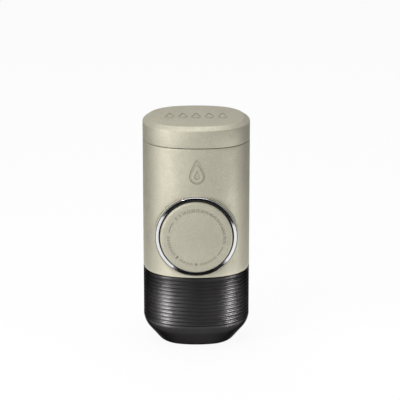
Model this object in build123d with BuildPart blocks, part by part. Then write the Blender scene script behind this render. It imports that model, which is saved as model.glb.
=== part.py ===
"""Handheld manual espresso maker for coffee capsules, stored upright.

From the bottom up: a ribbed water tank, a main body with a hand-driven piston
pump behind its round button, a capsule chamber with its outlet head, and a lid.
The origin is the centre of the tank's flat base, +Z is up and the button faces -Y.
Sizes are in millimetres.
"""

import os
from math import atan2, cos, degrees, radians, sqrt

from build123d import *

# ---------------------------------------------------------------- outer form
half_width = 31.0           # middle of each side of the rounded-square section
side_radius = 48.0          # long arcs of the section
corner_radius = 24.2        # short arcs of the section
tank_joint_z = 44.4         # seam between the tank and the body
lid_seam_z = 120.6          # seam between the body and the lid
lid_height = 12.2            # from the seam to the top
seam_gap = 0.3              # shadow gap at both seams
edge_round = 0.35           # broken edges of the outer shells
lid_chamfer_run = 3.4       # how far the lid's bevel runs in
lid_chamfer_height = 2.2

# ---------------------------------------------------------------- walls
shell_wall = 1.8
lid_wall = 1.7
tank_wall = 2.2
liner_wall = 1.2
liner_ceiling = 0.8
liner_rim = 1.0
fit_gap = 0.1               # between pieces that are assembled for good
running_gap = 0.05          # between pieces that slide or turn on each other
touch_gap = 0.05            # between faces that press on each other in use
thread_gap = 0.25           # over the crests of the quick threads

# ---------------------------------------------------------------- water tank
shoulder_z = 11.7           # where the tapered foot meets the ribbed wall
foot_inset = 9.9            # how far the foot draws in at the flat base
foot_round = 5.4
shoulder_round = 8.9
groove_count = 13
groove_pitch = 2.25
top_groove_z = 41.65
groove_radius = 0.8
groove_depth = 0.5
tank_floor = 2.4
tank_shoulder = 2.0         # thickness of the ring under the neck
socket_wall = 2.45          # round the quick thread
neck_wall = 2.2
neck_height = 4.6           # neck above the tank joint

# ---------------------------------------------------------------- quick threads
thread_count = 4
thread_arc = 62.0           # degrees round the neck
thread_height = 2.2         # at the root, inside the wall
thread_crest = 0.7
thread_root = 0.9
thread_depth = 0.9
thread_slope = 2.2          # degrees

# ---------------------------------------------------------------- tank socket
gasket_thickness = 1.2
gasket_width = 3.2
deck_thickness = 2.0
post_radius = 2.3
post_x = 20.5
post_y = 10.0
ledge_width = 1.8
ledge_height = 1.5
strainer_radius = 5.8
strainer_thickness = 0.4
strainer_hole = 0.45
strainer_rings = 2
strainer_pitch = 1.9
holes_per_ring = 6          # in the first ring of the strainer and the screen

# ---------------------------------------------------------------- button
collar_margin = 0.7         # casing under the collar
guide_margin = 0.15         # between the deck and the guide sleeve
cap_radius = 20.65
cap_stand = 2.2             # cap's face in front of the casing
cap_plate = 2.0
cap_depth = 3.6
cap_rim = 1.45
cap_edge = 0.8              # bevel round the cap
dome_radius = 14.5          # raised middle of the cap
dome_height = 0.5
cap_gap = 0.5               # between the cap and the bezel
bezel_stand = 0.35          # bezel's face in front of the casing
bezel_width = 1.95
bezel_thickness = 1.35
bezel_edge = 0.3
bezel_slope_width = 1.45    # cone towards the cap
bezel_slope_depth = 0.45
collar_wall = 0.8           # collar outside the bezel

# ---------------------------------------------------------------- piston and pump
stroke = 18.0
guide_step = 5.25           # sliding carriage inside the cap
carriage_wall = 1.5
carriage_sink = 4.8         # carriage's face behind the cap's
carriage_plate = 2.0
guide_wall = 1.3
guide_collar_wall = 1.6     # collar outside the lugs
guide_collar_sink = 2.0     # behind the casing's face
guide_collar_depth = 2.5
guide_back = -1.0           # behind the main axis
carriage_back = -0.5
lock_disc_step = 1.2        # disc outside the carriage
lug_count = 3
lug_arc = 24.0
lug_clearance = 0.3         # between the lugs and the carriage
lug_width = 2.9
lug_joint = 1.0             # lug beside the disc
lug_thickness = 2.5
first_lug = 70.0            # angle of the first lug, from +X towards +Z
lock_turn = 40.0
lug_gap = 0.25
lug_play = 3.0              # degrees
rod_radius = 3.0
hub_radius = 5.5
hub_length = 6.0
spring_space = 4.4          # between the cylinder and the carriage
cylinder_wall = 2.0
hub_clearance = 0.4         # between the hub and the cylinder
cylinder_end = 11.0         # inner end of the bore, behind the main axis
end_wall = 2.0
piston_length = 6.0
piston_face = 8.5           # behind the main axis, at rest
piston_gap = 0.2
seal_width = 2.4
seal_height = 1.5
piston_end = 1.3            # under the piston screw's head
flange_thickness = 3.0
ear_edge = 2.4              # ear outside its screws
ear_half_height = 6.5
ear_screw_step = 2.45       # outside the guide sleeve
ear_screw_z = 4.0
ear_length = 4.0
spring_wire = 1.1
spring_turns = 8
spring_seat_gap = 0.15

# ---------------------------------------------------------------- check valves
valve_y = 9.7
valve_bore = 2.7
valve_wall = 1.7
port_radius = 1.0
ball_radius = 1.6
ball_lift = 1.0
seat_height = 2.0
seat_cone = 0.9
seat_clearance = 0.02
valve_wire = 0.35
valve_spring_radius = 1.0
valve_spring_turns = 4
valve_cap_height = 1.4
inlet_roof = 0.25           # below the cylinder
outlet_floor = 0.35         # above the cylinder

# ---------------------------------------------------------------- air vent
vent_angle = 40.6
vent_margin = 2.4           # from the gasket
vent_hole = 1.5
vent_head = 2.5
vent_bulb = 2.0
vent_head_height = 0.8
vent_bulb_height = 1.2
vent_pinhole = 0.4

# ---------------------------------------------------------------- capsule chamber
chamber_floor = 2.0
chamber_wall = 2.3
holder_radius = 17.5
holder_seat_depth = 5.45    # shoulder that carries the holder's flange, below the body's top
shoulder_thickness = 3.0
holder_flange_gap = 1.05    # round the flange
holder_flange = 3.5
capsule_rim_radius = 18.7
capsule_rim_depth = 0.7
capsule_top_radius = 15.3
capsule_base_radius = 12.4
notch_count = 2
notch_radius = 3.2
liner_margin = 0.55         # between the lid's wall and the liner's bore wall
chamber_neck_wall = 1.75
top_plate = 1.9
seal_groove_drop = 1.9      # below the top of the neck
seal_groove_height = 1.4
seal_groove_depth = 0.8
neck_seal_radius = 0.5
water_recess = 0.6
water_recess_radius = 11.6
plate_radius = 12.6
plate_thickness = 0.8
pin_count = 3
pin_ring = 6.0
pin_radius = 0.8
pin_height = 3.0
pin_tip = 0.15
water_hole_count = 12
water_hole_ring = 10.0
water_hole = 0.5
injector_seal_height = 1.4

# ---------------------------------------------------------------- outlet head
head_skirt_wall = 1.8
head_flange_step = 0.2      # inside the chamber's neck
head_flange = 2.4
head_dome = 1.4
head_dome_radius = 15.0
grip_count = 36
grip_radius = 0.7
funnel_step = 0.6           # inside the head seal
spout_radius = 5.0
spout_bore = 2.6
spout_rise = 1.95           # above the dome
spout_gap = 0.2             # under the liner
spout_depth = 5.5
spout_flange = 6.2
spout_flange_height = 0.8
spout_lip = 0.8
head_skirt_gap = 0.3
head_seal_width = 6.6
head_seal_step = 2.2        # inside the holder's flange
screen_lap = 1.4            # screen over the head seal
screen_thickness = 0.5
screen_hole = 0.4
screen_hole_pitch = 2.4
screen_hole_rings = 5

# ---------------------------------------------------------------- screws
recess_span = 1.2           # cross recess, in head radii
recess_width = 0.25
frame_screw_radius = 1.25
frame_screw_head = 2.2
frame_screw_head_height = 1.5
frame_screw_length = 12.0
small_screw_radius = 0.9
small_screw_head = 1.7
small_screw_head_height = 1.1
small_screw_length = 5.5
cap_screw_ring = 11.5
first_cap_screw = 30.0      # angle from +X towards +Z
cap_screw_bite = 1.1
pivot_head = 4.8
pivot_head_height = 0.75
pivot_screw_length = 5.0
piston_screw_head = 2.4
piston_screw_head_height = 1.1
piston_screw_length = 5.0

# ---------------------------------------------------------------- derived sizes
side_offset = side_radius - half_width
corner_offset = (sqrt(2 * (side_radius - corner_radius) ** 2 - side_offset**2) - side_offset) / 2
side_half_angle = degrees(atan2(corner_offset, corner_offset + side_offset))
lid_top_z = lid_seam_z + lid_height
tank_top_z = tank_joint_z - seam_gap / 2
body_bottom_z = tank_joint_z + seam_gap / 2
body_top_z = lid_seam_z - seam_gap / 2
lid_bottom_z = lid_seam_z + seam_gap / 2
neck_top_z = tank_joint_z + neck_height
gasket_z = neck_top_z + touch_gap
deck_z = gasket_z + gasket_thickness
deck_top_z = deck_z + deck_thickness
socket_bore = half_width - shell_wall - fit_gap - socket_wall
neck_radius = socket_bore - thread_gap - thread_depth
gasket_bore = socket_bore - fit_gap - gasket_width
vent_ring = gasket_bore - vent_head - vent_margin
bezel_bore = cap_radius + cap_gap
bezel_radius = bezel_bore + bezel_width
collar_radius = bezel_radius + collar_wall
guide_radius = cap_radius - guide_step
guide_bore = guide_radius + running_gap
guide_outer = guide_bore + guide_wall
# The axis is as low as the collar and the guide sleeve allow.
button_z = max(body_bottom_z + collar_radius + collar_margin, deck_top_z + guide_outer + guide_margin)

collar_front = half_width
bezel_front = half_width + bezel_stand
cap_front = half_width + cap_stand
carriage_front = cap_front - carriage_sink
guide_collar_front = half_width - guide_collar_sink
lock_disc_back = carriage_front + fit_gap
lug_front = lock_disc_back + lug_joint
lug_back = lug_front - lug_thickness
cylinder_front = carriage_front - carriage_plate - hub_length - hub_clearance

chamber_z = button_z + guide_outer + fit_gap
chamber_floor_z = chamber_z + chamber_floor
chamber_bore = holder_radius + 2 * fit_gap
chamber_outer = chamber_bore + chamber_wall
liner_bore = half_width - lid_wall - fit_gap - liner_margin - liner_wall
chamber_neck_radius = liner_bore - thread_gap
neck_bore = chamber_neck_radius - chamber_neck_wall
holder_seat_z = body_top_z - holder_seat_depth
holder_flange_radius = neck_bore - holder_flange_gap
holder_flange_z = holder_seat_z + touch_gap
holder_top_z = holder_flange_z + holder_flange
injector_seal_top_z = chamber_floor_z + injector_seal_height
holder_bottom_z = injector_seal_top_z + touch_gap
top_plate_z = body_top_z - top_plate
head_seal_z = holder_top_z + touch_gap
head_floor_z = head_seal_z + gasket_thickness
head_skirt_radius = neck_bore - thread_gap - thread_depth
head_flange_radius = chamber_neck_radius - head_flange_step
head_seal_outer = holder_flange_radius - head_seal_step
head_seal_inner = head_seal_outer - head_seal_width
screen_radius = head_seal_inner + screen_lap
funnel_radius = head_seal_inner - funnel_step
cylinder_radius = guide_radius - carriage_wall - spring_space
bore_radius = cylinder_radius - cylinder_wall
lock_disc_radius = guide_radius + lock_disc_step
lug_root = guide_radius + lug_clearance
lug_reach = lug_root + lug_width
guide_collar_radius = lug_reach + guide_collar_wall
ear_screw_x = guide_outer + ear_screw_step
ear_reach = ear_screw_x + ear_edge
flange_front = guide_back - fit_gap
lock_disc_front = cap_front - cap_plate - fit_gap
valve_boss = valve_bore + valve_wall

lid_ceiling_z = lid_top_z - lid_wall
liner_ceiling_z = lid_ceiling_z - fit_gap - liner_ceiling
spout_top_z = liner_ceiling_z - spout_gap
head_top_z = spout_top_z - spout_rise
head_flange_z = head_top_z - head_dome - head_flange
chamber_neck_top = head_flange_z - touch_gap
seal_groove_z = chamber_neck_top - seal_groove_drop
inlet_roof_z = button_z - cylinder_radius - inlet_roof
outlet_floor_z = button_z + cylinder_radius + outlet_floor
liner_rim_z = body_top_z + touch_gap
spout_seat_z = spout_top_z - spout_depth
head_skirt_z = holder_top_z + head_skirt_gap
bezel_back = bezel_front - bezel_thickness
post_top_z = holder_seat_z - shoulder_thickness - fit_gap
rod_front = lock_disc_front - pivot_head_height - fit_gap
piston_screw_sink = piston_screw_head_height + fit_gap
rod_back = piston_face - piston_screw_sink - piston_end
spring_radius = (cylinder_radius + guide_radius - carriage_wall) / 2
dome_sphere = (dome_radius**2 + dome_height**2) / (2 * dome_height)
inlet_seat_z = deck_top_z + fit_gap
ball_centre = seat_height - seat_cone + sqrt(2) * (ball_radius + seat_clearance) - port_radius
ball_shoulder = (
    ball_centre + sqrt((ball_radius + valve_wire / 2) ** 2 - valve_spring_radius**2) - valve_wire / 2 + running_gap
)
outlet_cap_z = chamber_z - fit_gap - valve_cap_height
foot_angle = degrees(atan2(foot_inset, shoulder_z))
cavity_run = tank_wall / cos(radians(foot_angle))
cavity_inset = foot_inset * (1 - tank_floor / shoulder_z) + cavity_run
cavity_shoulder_z = shoulder_z * (1 + (cavity_run - tank_wall) / foot_inset)
pin_taper = degrees(atan2(pin_radius - pin_tip, pin_height))

button_plane = Plane(origin=(0, 0, button_z), x_dir=(1, 0, 0), z_dir=(0, -1, 0))


# ---------------------------------------------------------------- shared shapes
def rounded_square(inset=0.0):
    """Section of the casing: long side arcs and short corner arcs, all tangent, drawn in by inset."""
    with BuildSketch() as section:
        with BuildLine():
            for quarter in range(4):
                turn = 90 * quarter
                side_centre = Vector(0, -side_offset).rotate(Axis.Z, turn)
                corner_centre = Vector(corner_offset, corner_offset).rotate(Axis.Z, turn)
                CenterArc(side_centre, side_radius - inset, 90 + turn - side_half_angle, side_half_angle)
                CenterArc(side_centre, side_radius - inset, 90 + turn, side_half_angle)
                CenterArc(corner_centre, corner_radius - inset, turn + side_half_angle, 90 - 2 * side_half_angle)
        make_face()
    return section.sketch


def thread_ridges(radius, depth, middle_z):
    """Quick-thread ridges that stand out of a neck of the given radius."""
    with BuildPart() as ridges:
        with BuildSketch(Plane.XZ.rotated((0, 0, -thread_arc / 2))):
            with BuildLine():
                Polyline(
                    (radius - thread_root, -thread_height / 2),
                    (radius + depth, -thread_crest / 2),
                    (radius + depth, thread_crest / 2),
                    (radius - thread_root, thread_height / 2),
                    close=True,
                )
            make_face()
        revolve(axis=Axis.Z, revolution_arc=thread_arc)
    tilted = ridges.part.rotate(Axis.X, thread_slope)
    upright = Pos(0, 0, middle_z) * tilted
    return [upright.rotate(Axis.Z, 360 / thread_count * number) for number in range(thread_count)]


def coil(radius, wire_radius, length, turns, foot):
    """Compression spring of round wire that stands on the foot plane."""
    rise = length - 2 * wire_radius
    start = foot.origin + foot.z_dir * wire_radius
    with BuildPart() as spring:
        with BuildLine():
            path = Helix(pitch=rise / turns, height=rise, radius=radius, center=start, direction=foot.z_dir)
        with BuildSketch(Plane(origin=path @ 0, z_dir=path % 0)):
            Circle(wire_radius)
        sweep(is_frenet=True)
    return spring.part


def ring_sector(inner, outer, middle, arc):
    """Flat piece of a ring, centred on the middle angle."""
    with BuildSketch() as sector:
        with BuildLine():
            far = CenterArc((0, 0), outer, middle - arc / 2, arc)
            near = CenterArc((0, 0), inner, middle - arc / 2, arc)
            Line(far @ 0, near @ 0)
            Line(far @ 1, near @ 1)
        make_face()
    return sector.sketch


def screw(shank_radius, length, head_radius, head_height, head_plane):
    """Cheese-head screw with a cross recess, its head's underside on the plane."""
    with BuildPart() as fastener:
        with BuildSketch(head_plane):
            Circle(head_radius)
        extrude(amount=head_height)
        with BuildSketch(head_plane):
            Circle(shank_radius)
        extrude(amount=-length)
        with BuildSketch(head_plane.offset(head_height)):
            Rectangle(recess_span * head_radius, recess_width * head_radius)
            Rectangle(recess_width * head_radius, recess_span * head_radius)
        extrude(amount=-head_height / 2, mode=Mode.SUBTRACT)
    return fastener.part


os.makedirs("parts", exist_ok=True)


def save(piece, name):
    piece.label = name
    export_step(piece, f"parts/{name}.step")


# ================================================================ lid
with BuildPart() as lid_shell:
    with BuildSketch(Plane.XY.offset(lid_bottom_z)):
        add(rounded_square())
    extrude(amount=lid_top_z - lid_bottom_z)
    lid_face = lid_shell.faces().sort_by(Axis.Z)[-1]
    chamfer(lid_face.edges(), length=lid_chamfer_run, length2=lid_chamfer_height, reference=lid_face)
    with BuildSketch(Plane.XY.offset(lid_bottom_z)):
        add(rounded_square(lid_wall))
    extrude(amount=lid_ceiling_z - lid_bottom_z, mode=Mode.SUBTRACT)
    fillet(lid_shell.edges().group_by(Axis.Z)[0], edge_round / 2)
    fillet(lid_shell.edges().group_by(Axis.Z)[-1], edge_round)
save(lid_shell.part, "lid_shell")

with BuildPart() as lid_liner:
    with BuildSketch(Plane.XY.offset(liner_rim_z)):
        add(rounded_square(lid_wall + fit_gap))
    extrude(amount=liner_rim)
    with BuildSketch(Plane.XY.offset(liner_rim_z)):
        Circle(liner_bore + liner_wall)
    extrude(amount=lid_ceiling_z - fit_gap - liner_rim_z)
    with BuildSketch(Plane.XY.offset(liner_rim_z)):
        Circle(liner_bore)
    extrude(amount=liner_ceiling_z - liner_rim_z, mode=Mode.SUBTRACT)
save(lid_liner.part, "lid_liner")

# ================================================================ outlet head
with BuildPart() as outlet_head:
    with BuildSketch(Plane.XZ):
        with BuildLine():
            Polyline(
                (spout_bore, spout_seat_z),
                (funnel_radius, head_floor_z),
                (head_skirt_radius - head_skirt_wall, head_floor_z),
                (head_skirt_radius - head_skirt_wall, head_skirt_z),
                (head_skirt_radius, head_skirt_z),
                (head_skirt_radius, head_flange_z),
                (head_flange_radius, head_flange_z),
                (head_flange_radius, head_flange_z + head_flange),
                (head_dome_radius, head_flange_z + head_flange),
                (spout_flange, head_top_z),
                (spout_radius + fit_gap, head_top_z),
                (spout_radius + fit_gap, spout_seat_z),
                close=True,
            )
        make_face()
    revolve(axis=Axis.Z)
    with BuildSketch(Plane.XY.offset(head_flange_z)):
        with PolarLocations(head_flange_radius, grip_count):
            Circle(grip_radius)
    extrude(amount=head_flange, mode=Mode.SUBTRACT)
    add(thread_ridges(head_skirt_radius, thread_depth, (head_skirt_z + head_flange_z) / 2))
save(outlet_head.part, "outlet_head")

with BuildPart() as spout:
    with BuildSketch(Plane.XY.offset(spout_seat_z)):
        Circle(spout_radius)
    extrude(amount=spout_top_z - spout_seat_z)
    chamfer(spout.edges().group_by(Axis.Z)[-1], spout_lip)
    with BuildSketch(Plane.XY.offset(head_top_z)):
        Circle(spout_flange)
    extrude(amount=spout_flange_height)
    with BuildSketch(Plane.XY.offset(spout_seat_z)):
        Circle(spout_bore)
    extrude(amount=spout_top_z - spout_seat_z, mode=Mode.SUBTRACT)
save(spout.part, "spout")

with BuildPart() as outlet_screen:
    with BuildSketch(Plane.XY.offset(head_floor_z - screen_thickness)):
        Circle(screen_radius)
        Circle(screen_hole, mode=Mode.SUBTRACT)
        for ring in range(1, screen_hole_rings + 1):
            with PolarLocations(ring * screen_hole_pitch, holes_per_ring * ring):
                Circle(screen_hole, mode=Mode.SUBTRACT)
    extrude(amount=screen_thickness)
save(outlet_screen.part, "outlet_screen")

with BuildPart() as head_seal:
    with BuildSketch(Plane.XY.offset(head_seal_z)):
        Circle(head_seal_outer)
        Circle(head_seal_inner, mode=Mode.SUBTRACT)
    extrude(amount=gasket_thickness)
    with BuildSketch(Plane.XY.offset(head_floor_z - screen_thickness)):
        Circle(screen_radius + running_gap)
    extrude(amount=screen_thickness, mode=Mode.SUBTRACT)
save(head_seal.part, "head_seal")

# ================================================================ capsule holder
with BuildPart() as capsule_holder:
    with BuildSketch(Plane.XZ):
        with BuildLine():
            Polyline(
                (capsule_base_radius, holder_bottom_z),
                (holder_radius, holder_bottom_z),
                (holder_radius, holder_flange_z),
                (holder_flange_radius, holder_flange_z),
                (holder_flange_radius, holder_top_z),
                (capsule_rim_radius, holder_top_z),
                (capsule_rim_radius, holder_top_z - capsule_rim_depth),
                (capsule_top_radius, holder_top_z - capsule_rim_depth),
                close=True,
            )
        make_face()
    revolve(axis=Axis.Z)
    with BuildSketch(Plane.XY.offset(holder_flange_z)):
        with PolarLocations(holder_flange_radius, notch_count):
            Circle(notch_radius)
    extrude(amount=holder_flange, mode=Mode.SUBTRACT)
save(capsule_holder.part, "capsule_holder")

# ================================================================ main body: shell and bezel
with BuildPart() as body_shell:
    with BuildSketch(Plane.XY.offset(body_bottom_z)):
        add(rounded_square())
    extrude(amount=body_top_z - body_bottom_z)
    fillet(body_shell.edges().group_by(Axis.Z)[0], edge_round)
    fillet(body_shell.edges().group_by(Axis.Z)[-1], edge_round)
    with BuildSketch(button_plane):
        Circle(collar_radius)
    extrude(amount=collar_front)
    with BuildSketch(Plane.XY.offset(body_bottom_z)):
        add(rounded_square(shell_wall))
    extrude(amount=body_top_z - body_bottom_z, mode=Mode.SUBTRACT)
    for ledge_z in (deck_top_z + fit_gap, top_plate_z - fit_gap - ledge_height):
        with BuildSketch(Plane.XY.offset(ledge_z)):
            add(rounded_square(shell_wall / 2))
            add(rounded_square(shell_wall + ledge_width), mode=Mode.SUBTRACT)
        extrude(amount=ledge_height)
    with BuildSketch(button_plane):
        Circle(bezel_bore)
    extrude(amount=collar_front, mode=Mode.SUBTRACT)
    with BuildSketch(button_plane.offset(bezel_back)):
        Circle(bezel_radius + fit_gap)
    extrude(amount=collar_front - bezel_back, mode=Mode.SUBTRACT)
save(body_shell.part, "body_shell")

with BuildPart() as bezel_ring:
    with BuildSketch(button_plane.offset(bezel_back)):
        Circle(bezel_radius)
        Circle(bezel_bore, mode=Mode.SUBTRACT)
    extrude(amount=bezel_thickness)
    bezel_face = bezel_ring.faces().sort_by(Axis.Y)[0]
    bezel_inner, bezel_outer = bezel_face.edges().sort_by(SortBy.LENGTH)
    chamfer(bezel_inner, length=bezel_slope_width, length2=bezel_slope_depth, reference=bezel_face)
    chamfer(bezel_outer, length=bezel_edge)
save(bezel_ring.part, "bezel_ring")

# ================================================================ main body: tank socket
with BuildPart() as tank_socket:
    with BuildSketch(Plane.XY.offset(body_bottom_z)):
        add(rounded_square(shell_wall + fit_gap))
    extrude(amount=deck_top_z - body_bottom_z)
    with BuildSketch(Plane.XY.offset(body_bottom_z)):
        Circle(socket_bore)
    extrude(amount=deck_z - body_bottom_z, mode=Mode.SUBTRACT)
    with BuildSketch(Plane.XY.offset(deck_top_z)):
        with GridLocations(2 * post_x, 2 * post_y, 2, 2):
            Circle(post_radius)
    extrude(amount=post_top_z - deck_top_z)
    with BuildSketch(Plane.XY.offset(post_top_z)):
        with GridLocations(2 * post_x, 2 * post_y, 2, 2):
            Circle(frame_screw_radius + running_gap)
    extrude(amount=-frame_screw_length, mode=Mode.SUBTRACT)
    with BuildSketch(Plane.XY.offset(deck_z)):
        with Locations((0, valve_y)):
            Circle(strainer_radius + fit_gap)
    extrude(amount=strainer_thickness + fit_gap, mode=Mode.SUBTRACT)
    with BuildSketch(Plane.XY.offset(deck_z)):
        with Locations((0, valve_y)):
            Circle(ball_radius)
        with PolarLocations(vent_ring, 1, start_angle=vent_angle):
            Circle(vent_hole)
    extrude(amount=deck_thickness, mode=Mode.SUBTRACT)
save(tank_socket.part, "tank_socket")

with BuildPart() as tank_gasket:
    with BuildSketch(Plane.XY.offset(gasket_z)):
        Circle(socket_bore - fit_gap)
        Circle(gasket_bore, mode=Mode.SUBTRACT)
    extrude(amount=gasket_thickness)
save(tank_gasket.part, "tank_gasket")

with BuildPart() as inlet_strainer:
    with BuildSketch(Plane.XY.offset(deck_z)):
        with Locations((0, valve_y)):
            Circle(strainer_radius)
            Circle(strainer_hole, mode=Mode.SUBTRACT)
            for ring in range(1, strainer_rings + 1):
                with PolarLocations(ring * strainer_pitch, holes_per_ring * ring):
                    Circle(strainer_hole, mode=Mode.SUBTRACT)
    extrude(amount=strainer_thickness)
save(inlet_strainer.part, "inlet_strainer")

with BuildPart() as vent_valve:
    with BuildSketch(Plane.XY.offset(deck_z - vent_head_height)):
        with PolarLocations(vent_ring, 1, start_angle=vent_angle):
            Circle(vent_head)
    extrude(amount=vent_head_height)
    with BuildSketch(Plane.XY.offset(deck_z)):
        with PolarLocations(vent_ring, 1, start_angle=vent_angle):
            Circle(vent_hole - running_gap)
    extrude(amount=deck_thickness)
    with BuildSketch(Plane.XY.offset(deck_top_z)):
        with PolarLocations(vent_ring, 1, start_angle=vent_angle):
            Circle(vent_bulb)
    extrude(amount=vent_bulb_height)
    with BuildSketch(Plane.XY.offset(deck_z - vent_head_height)):
        with PolarLocations(vent_ring, 1, start_angle=vent_angle):
            Circle(vent_pinhole)
    extrude(amount=vent_head_height + deck_thickness + vent_bulb_height, mode=Mode.SUBTRACT)
save(vent_valve.part, "vent_valve")

# ================================================================ main body: capsule chamber
with BuildPart() as chamber_housing:
    with BuildSketch(Plane.XY.offset(chamber_z)):
        Circle(chamber_outer)
    extrude(amount=holder_seat_z - chamber_z)
    with BuildSketch(Plane.XY.offset(holder_seat_z - shoulder_thickness)):
        Circle(chamber_neck_radius)
    extrude(amount=chamber_neck_top - holder_seat_z + shoulder_thickness)
    with BuildSketch(Plane.XY.offset(top_plate_z)):
        add(rounded_square(shell_wall + fit_gap))
    extrude(amount=top_plate)
    with BuildSketch(Plane.XY.offset(holder_seat_z)):
        Circle(neck_bore)
    extrude(amount=chamber_neck_top - holder_seat_z, mode=Mode.SUBTRACT)
    with BuildSketch(Plane.XY.offset(chamber_floor_z)):
        Circle(chamber_bore)
    extrude(amount=holder_seat_z - chamber_floor_z, mode=Mode.SUBTRACT)
    with BuildSketch(Plane.XY.offset(chamber_floor_z)):
        Circle(water_recess_radius)
    extrude(amount=-water_recess, mode=Mode.SUBTRACT)
    with BuildSketch(Plane.XY.offset(chamber_z)):
        with Locations((0, valve_y)):
            Circle(port_radius)
    extrude(amount=chamber_floor, mode=Mode.SUBTRACT)
    with BuildSketch(Plane.XY.offset(seal_groove_z - seal_groove_height / 2)):
        Circle(chamber_neck_radius)
        Circle(chamber_neck_radius - seal_groove_depth, mode=Mode.SUBTRACT)
    extrude(amount=seal_groove_height, mode=Mode.SUBTRACT)
    with Locations(Plane.XY.offset(holder_seat_z)):
        with GridLocations(2 * post_x, 2 * post_y, 2, 2):
            CounterBoreHole(
                radius=frame_screw_radius + fit_gap,
                counter_bore_radius=frame_screw_head + fit_gap,
                counter_bore_depth=frame_screw_head_height + fit_gap,
                depth=shoulder_thickness,
            )
save(chamber_housing.part, "chamber_housing")

with BuildPart() as neck_seal:
    with Locations(Plane.XY.offset(seal_groove_z)):
        Torus(liner_bore - running_gap - neck_seal_radius, neck_seal_radius)
save(neck_seal.part, "neck_seal")

with BuildPart() as piercing_plate:
    with BuildSketch(Plane.XY.offset(chamber_floor_z)):
        Circle(plate_radius)
        with PolarLocations(water_hole_ring, water_hole_count):
            Circle(water_hole, mode=Mode.SUBTRACT)
    extrude(amount=plate_thickness)
save(piercing_plate.part, "piercing_plate")

with BuildPart() as piercing_pins:
    with BuildSketch(Plane.XY.offset(chamber_floor_z + plate_thickness)):
        with PolarLocations(pin_ring, pin_count, start_angle=90):
            Circle(pin_radius)
    extrude(amount=pin_height, taper=pin_taper)
save(piercing_pins.part, "piercing_pins")

with BuildPart() as injector_seal:
    with BuildSketch(Plane.XY.offset(chamber_floor_z)):
        Circle(holder_radius)
        Circle(plate_radius + fit_gap, mode=Mode.SUBTRACT)
    extrude(amount=injector_seal_height)
save(injector_seal.part, "injector_seal")

frame_screw_head_z = holder_seat_z - frame_screw_head_height - fit_gap
frame_screws = [
    screw(
        frame_screw_radius,
        frame_screw_length,
        frame_screw_head,
        frame_screw_head_height,
        Plane(origin=(x, y, frame_screw_head_z)),
    )
    for x in (-post_x, post_x)
    for y in (-post_y, post_y)
]
save(Compound(children=frame_screws), "frame_screws")

# ================================================================ main body: pump
with BuildPart() as guide_sleeve:
    with BuildSketch(button_plane.offset(guide_back)):
        Circle(guide_outer)
        Rectangle(2 * ear_reach, 2 * ear_half_height)
    extrude(amount=ear_length)
    with BuildSketch(button_plane.offset(guide_back)):
        Circle(guide_outer)
    extrude(amount=guide_collar_front - guide_back)
    with BuildSketch(button_plane.offset(guide_collar_front)):
        Circle(guide_collar_radius)
    extrude(amount=-guide_collar_depth)
    with BuildSketch(button_plane.offset(guide_back)):
        Circle(guide_bore)
    extrude(amount=guide_collar_front - guide_back, mode=Mode.SUBTRACT)
    with BuildSketch(button_plane.offset(lug_back - lug_gap)):
        Circle(lock_disc_radius + lug_gap)
        for number in range(lug_count):
            start = first_lug + 360 / lug_count * number
            add(ring_sector(guide_bore, lug_reach + lug_gap, start + lock_turn / 2, lug_arc + lock_turn + lug_play))
    extrude(amount=guide_collar_front - lug_back + lug_gap, mode=Mode.SUBTRACT)
    with BuildSketch(Plane.XY.offset(deck_top_z + fit_gap)):
        with Locations((0, -guide_collar_front)):
            Rectangle(2 * guide_collar_radius, 2 * guide_collar_depth)
    extrude(amount=-guide_collar_radius, mode=Mode.SUBTRACT)
    with BuildSketch(button_plane.offset(guide_back)):
        with GridLocations(2 * ear_screw_x, 2 * ear_screw_z, 2, 2):
            Circle(small_screw_radius + running_gap)
    extrude(amount=ear_length, mode=Mode.SUBTRACT)
save(guide_sleeve.part, "guide_sleeve")

with BuildPart() as pump_block:
    with BuildSketch(button_plane.offset(-cylinder_end - end_wall)):
        Circle(cylinder_radius)
    extrude(amount=cylinder_front + cylinder_end + end_wall)
    with BuildSketch(button_plane.offset(flange_front)):
        Circle(guide_outer)
        Rectangle(2 * ear_reach, 2 * ear_half_height)
    extrude(amount=-flange_thickness)
    with BuildSketch(Plane.XY.offset(deck_top_z + fit_gap)):
        with Locations((0, valve_y)):
            Circle(valve_boss)
    extrude(amount=chamber_z - deck_top_z - 2 * fit_gap)
    with BuildSketch(button_plane.offset(-cylinder_end)):
        Circle(bore_radius)
    extrude(amount=cylinder_front + cylinder_end, mode=Mode.SUBTRACT)
    with BuildSketch(Plane.XY.offset(inlet_roof_z)):
        with Locations((0, valve_y)):
            Circle(port_radius)
    extrude(amount=outlet_floor_z - inlet_roof_z, mode=Mode.SUBTRACT)
    with BuildSketch(Plane.XY.offset(deck_top_z + fit_gap)):
        with Locations((0, valve_y)):
            Circle(valve_bore)
    extrude(amount=inlet_roof_z - deck_top_z - fit_gap, mode=Mode.SUBTRACT)
    with BuildSketch(Plane.XY.offset(outlet_floor_z)):
        with Locations((0, valve_y)):
            Circle(valve_bore)
    extrude(amount=chamber_z - fit_gap - outlet_floor_z, mode=Mode.SUBTRACT)
    with BuildSketch(button_plane.offset(flange_front)):
        with GridLocations(2 * ear_screw_x, 2 * ear_screw_z, 2, 2):
            Circle(small_screw_radius + fit_gap)
    extrude(amount=-flange_thickness, mode=Mode.SUBTRACT)
save(pump_block.part, "pump_block")

pump_screws = [
    screw(
        small_screw_radius,
        small_screw_length,
        small_screw_head,
        small_screw_head_height,
        Plane(origin=(x, flange_thickness - flange_front, button_z + z), z_dir=(0, 1, 0)),
    )
    for x in (-ear_screw_x, ear_screw_x)
    for z in (-ear_screw_z, ear_screw_z)
]
save(Compound(children=pump_screws), "pump_screws")

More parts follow.
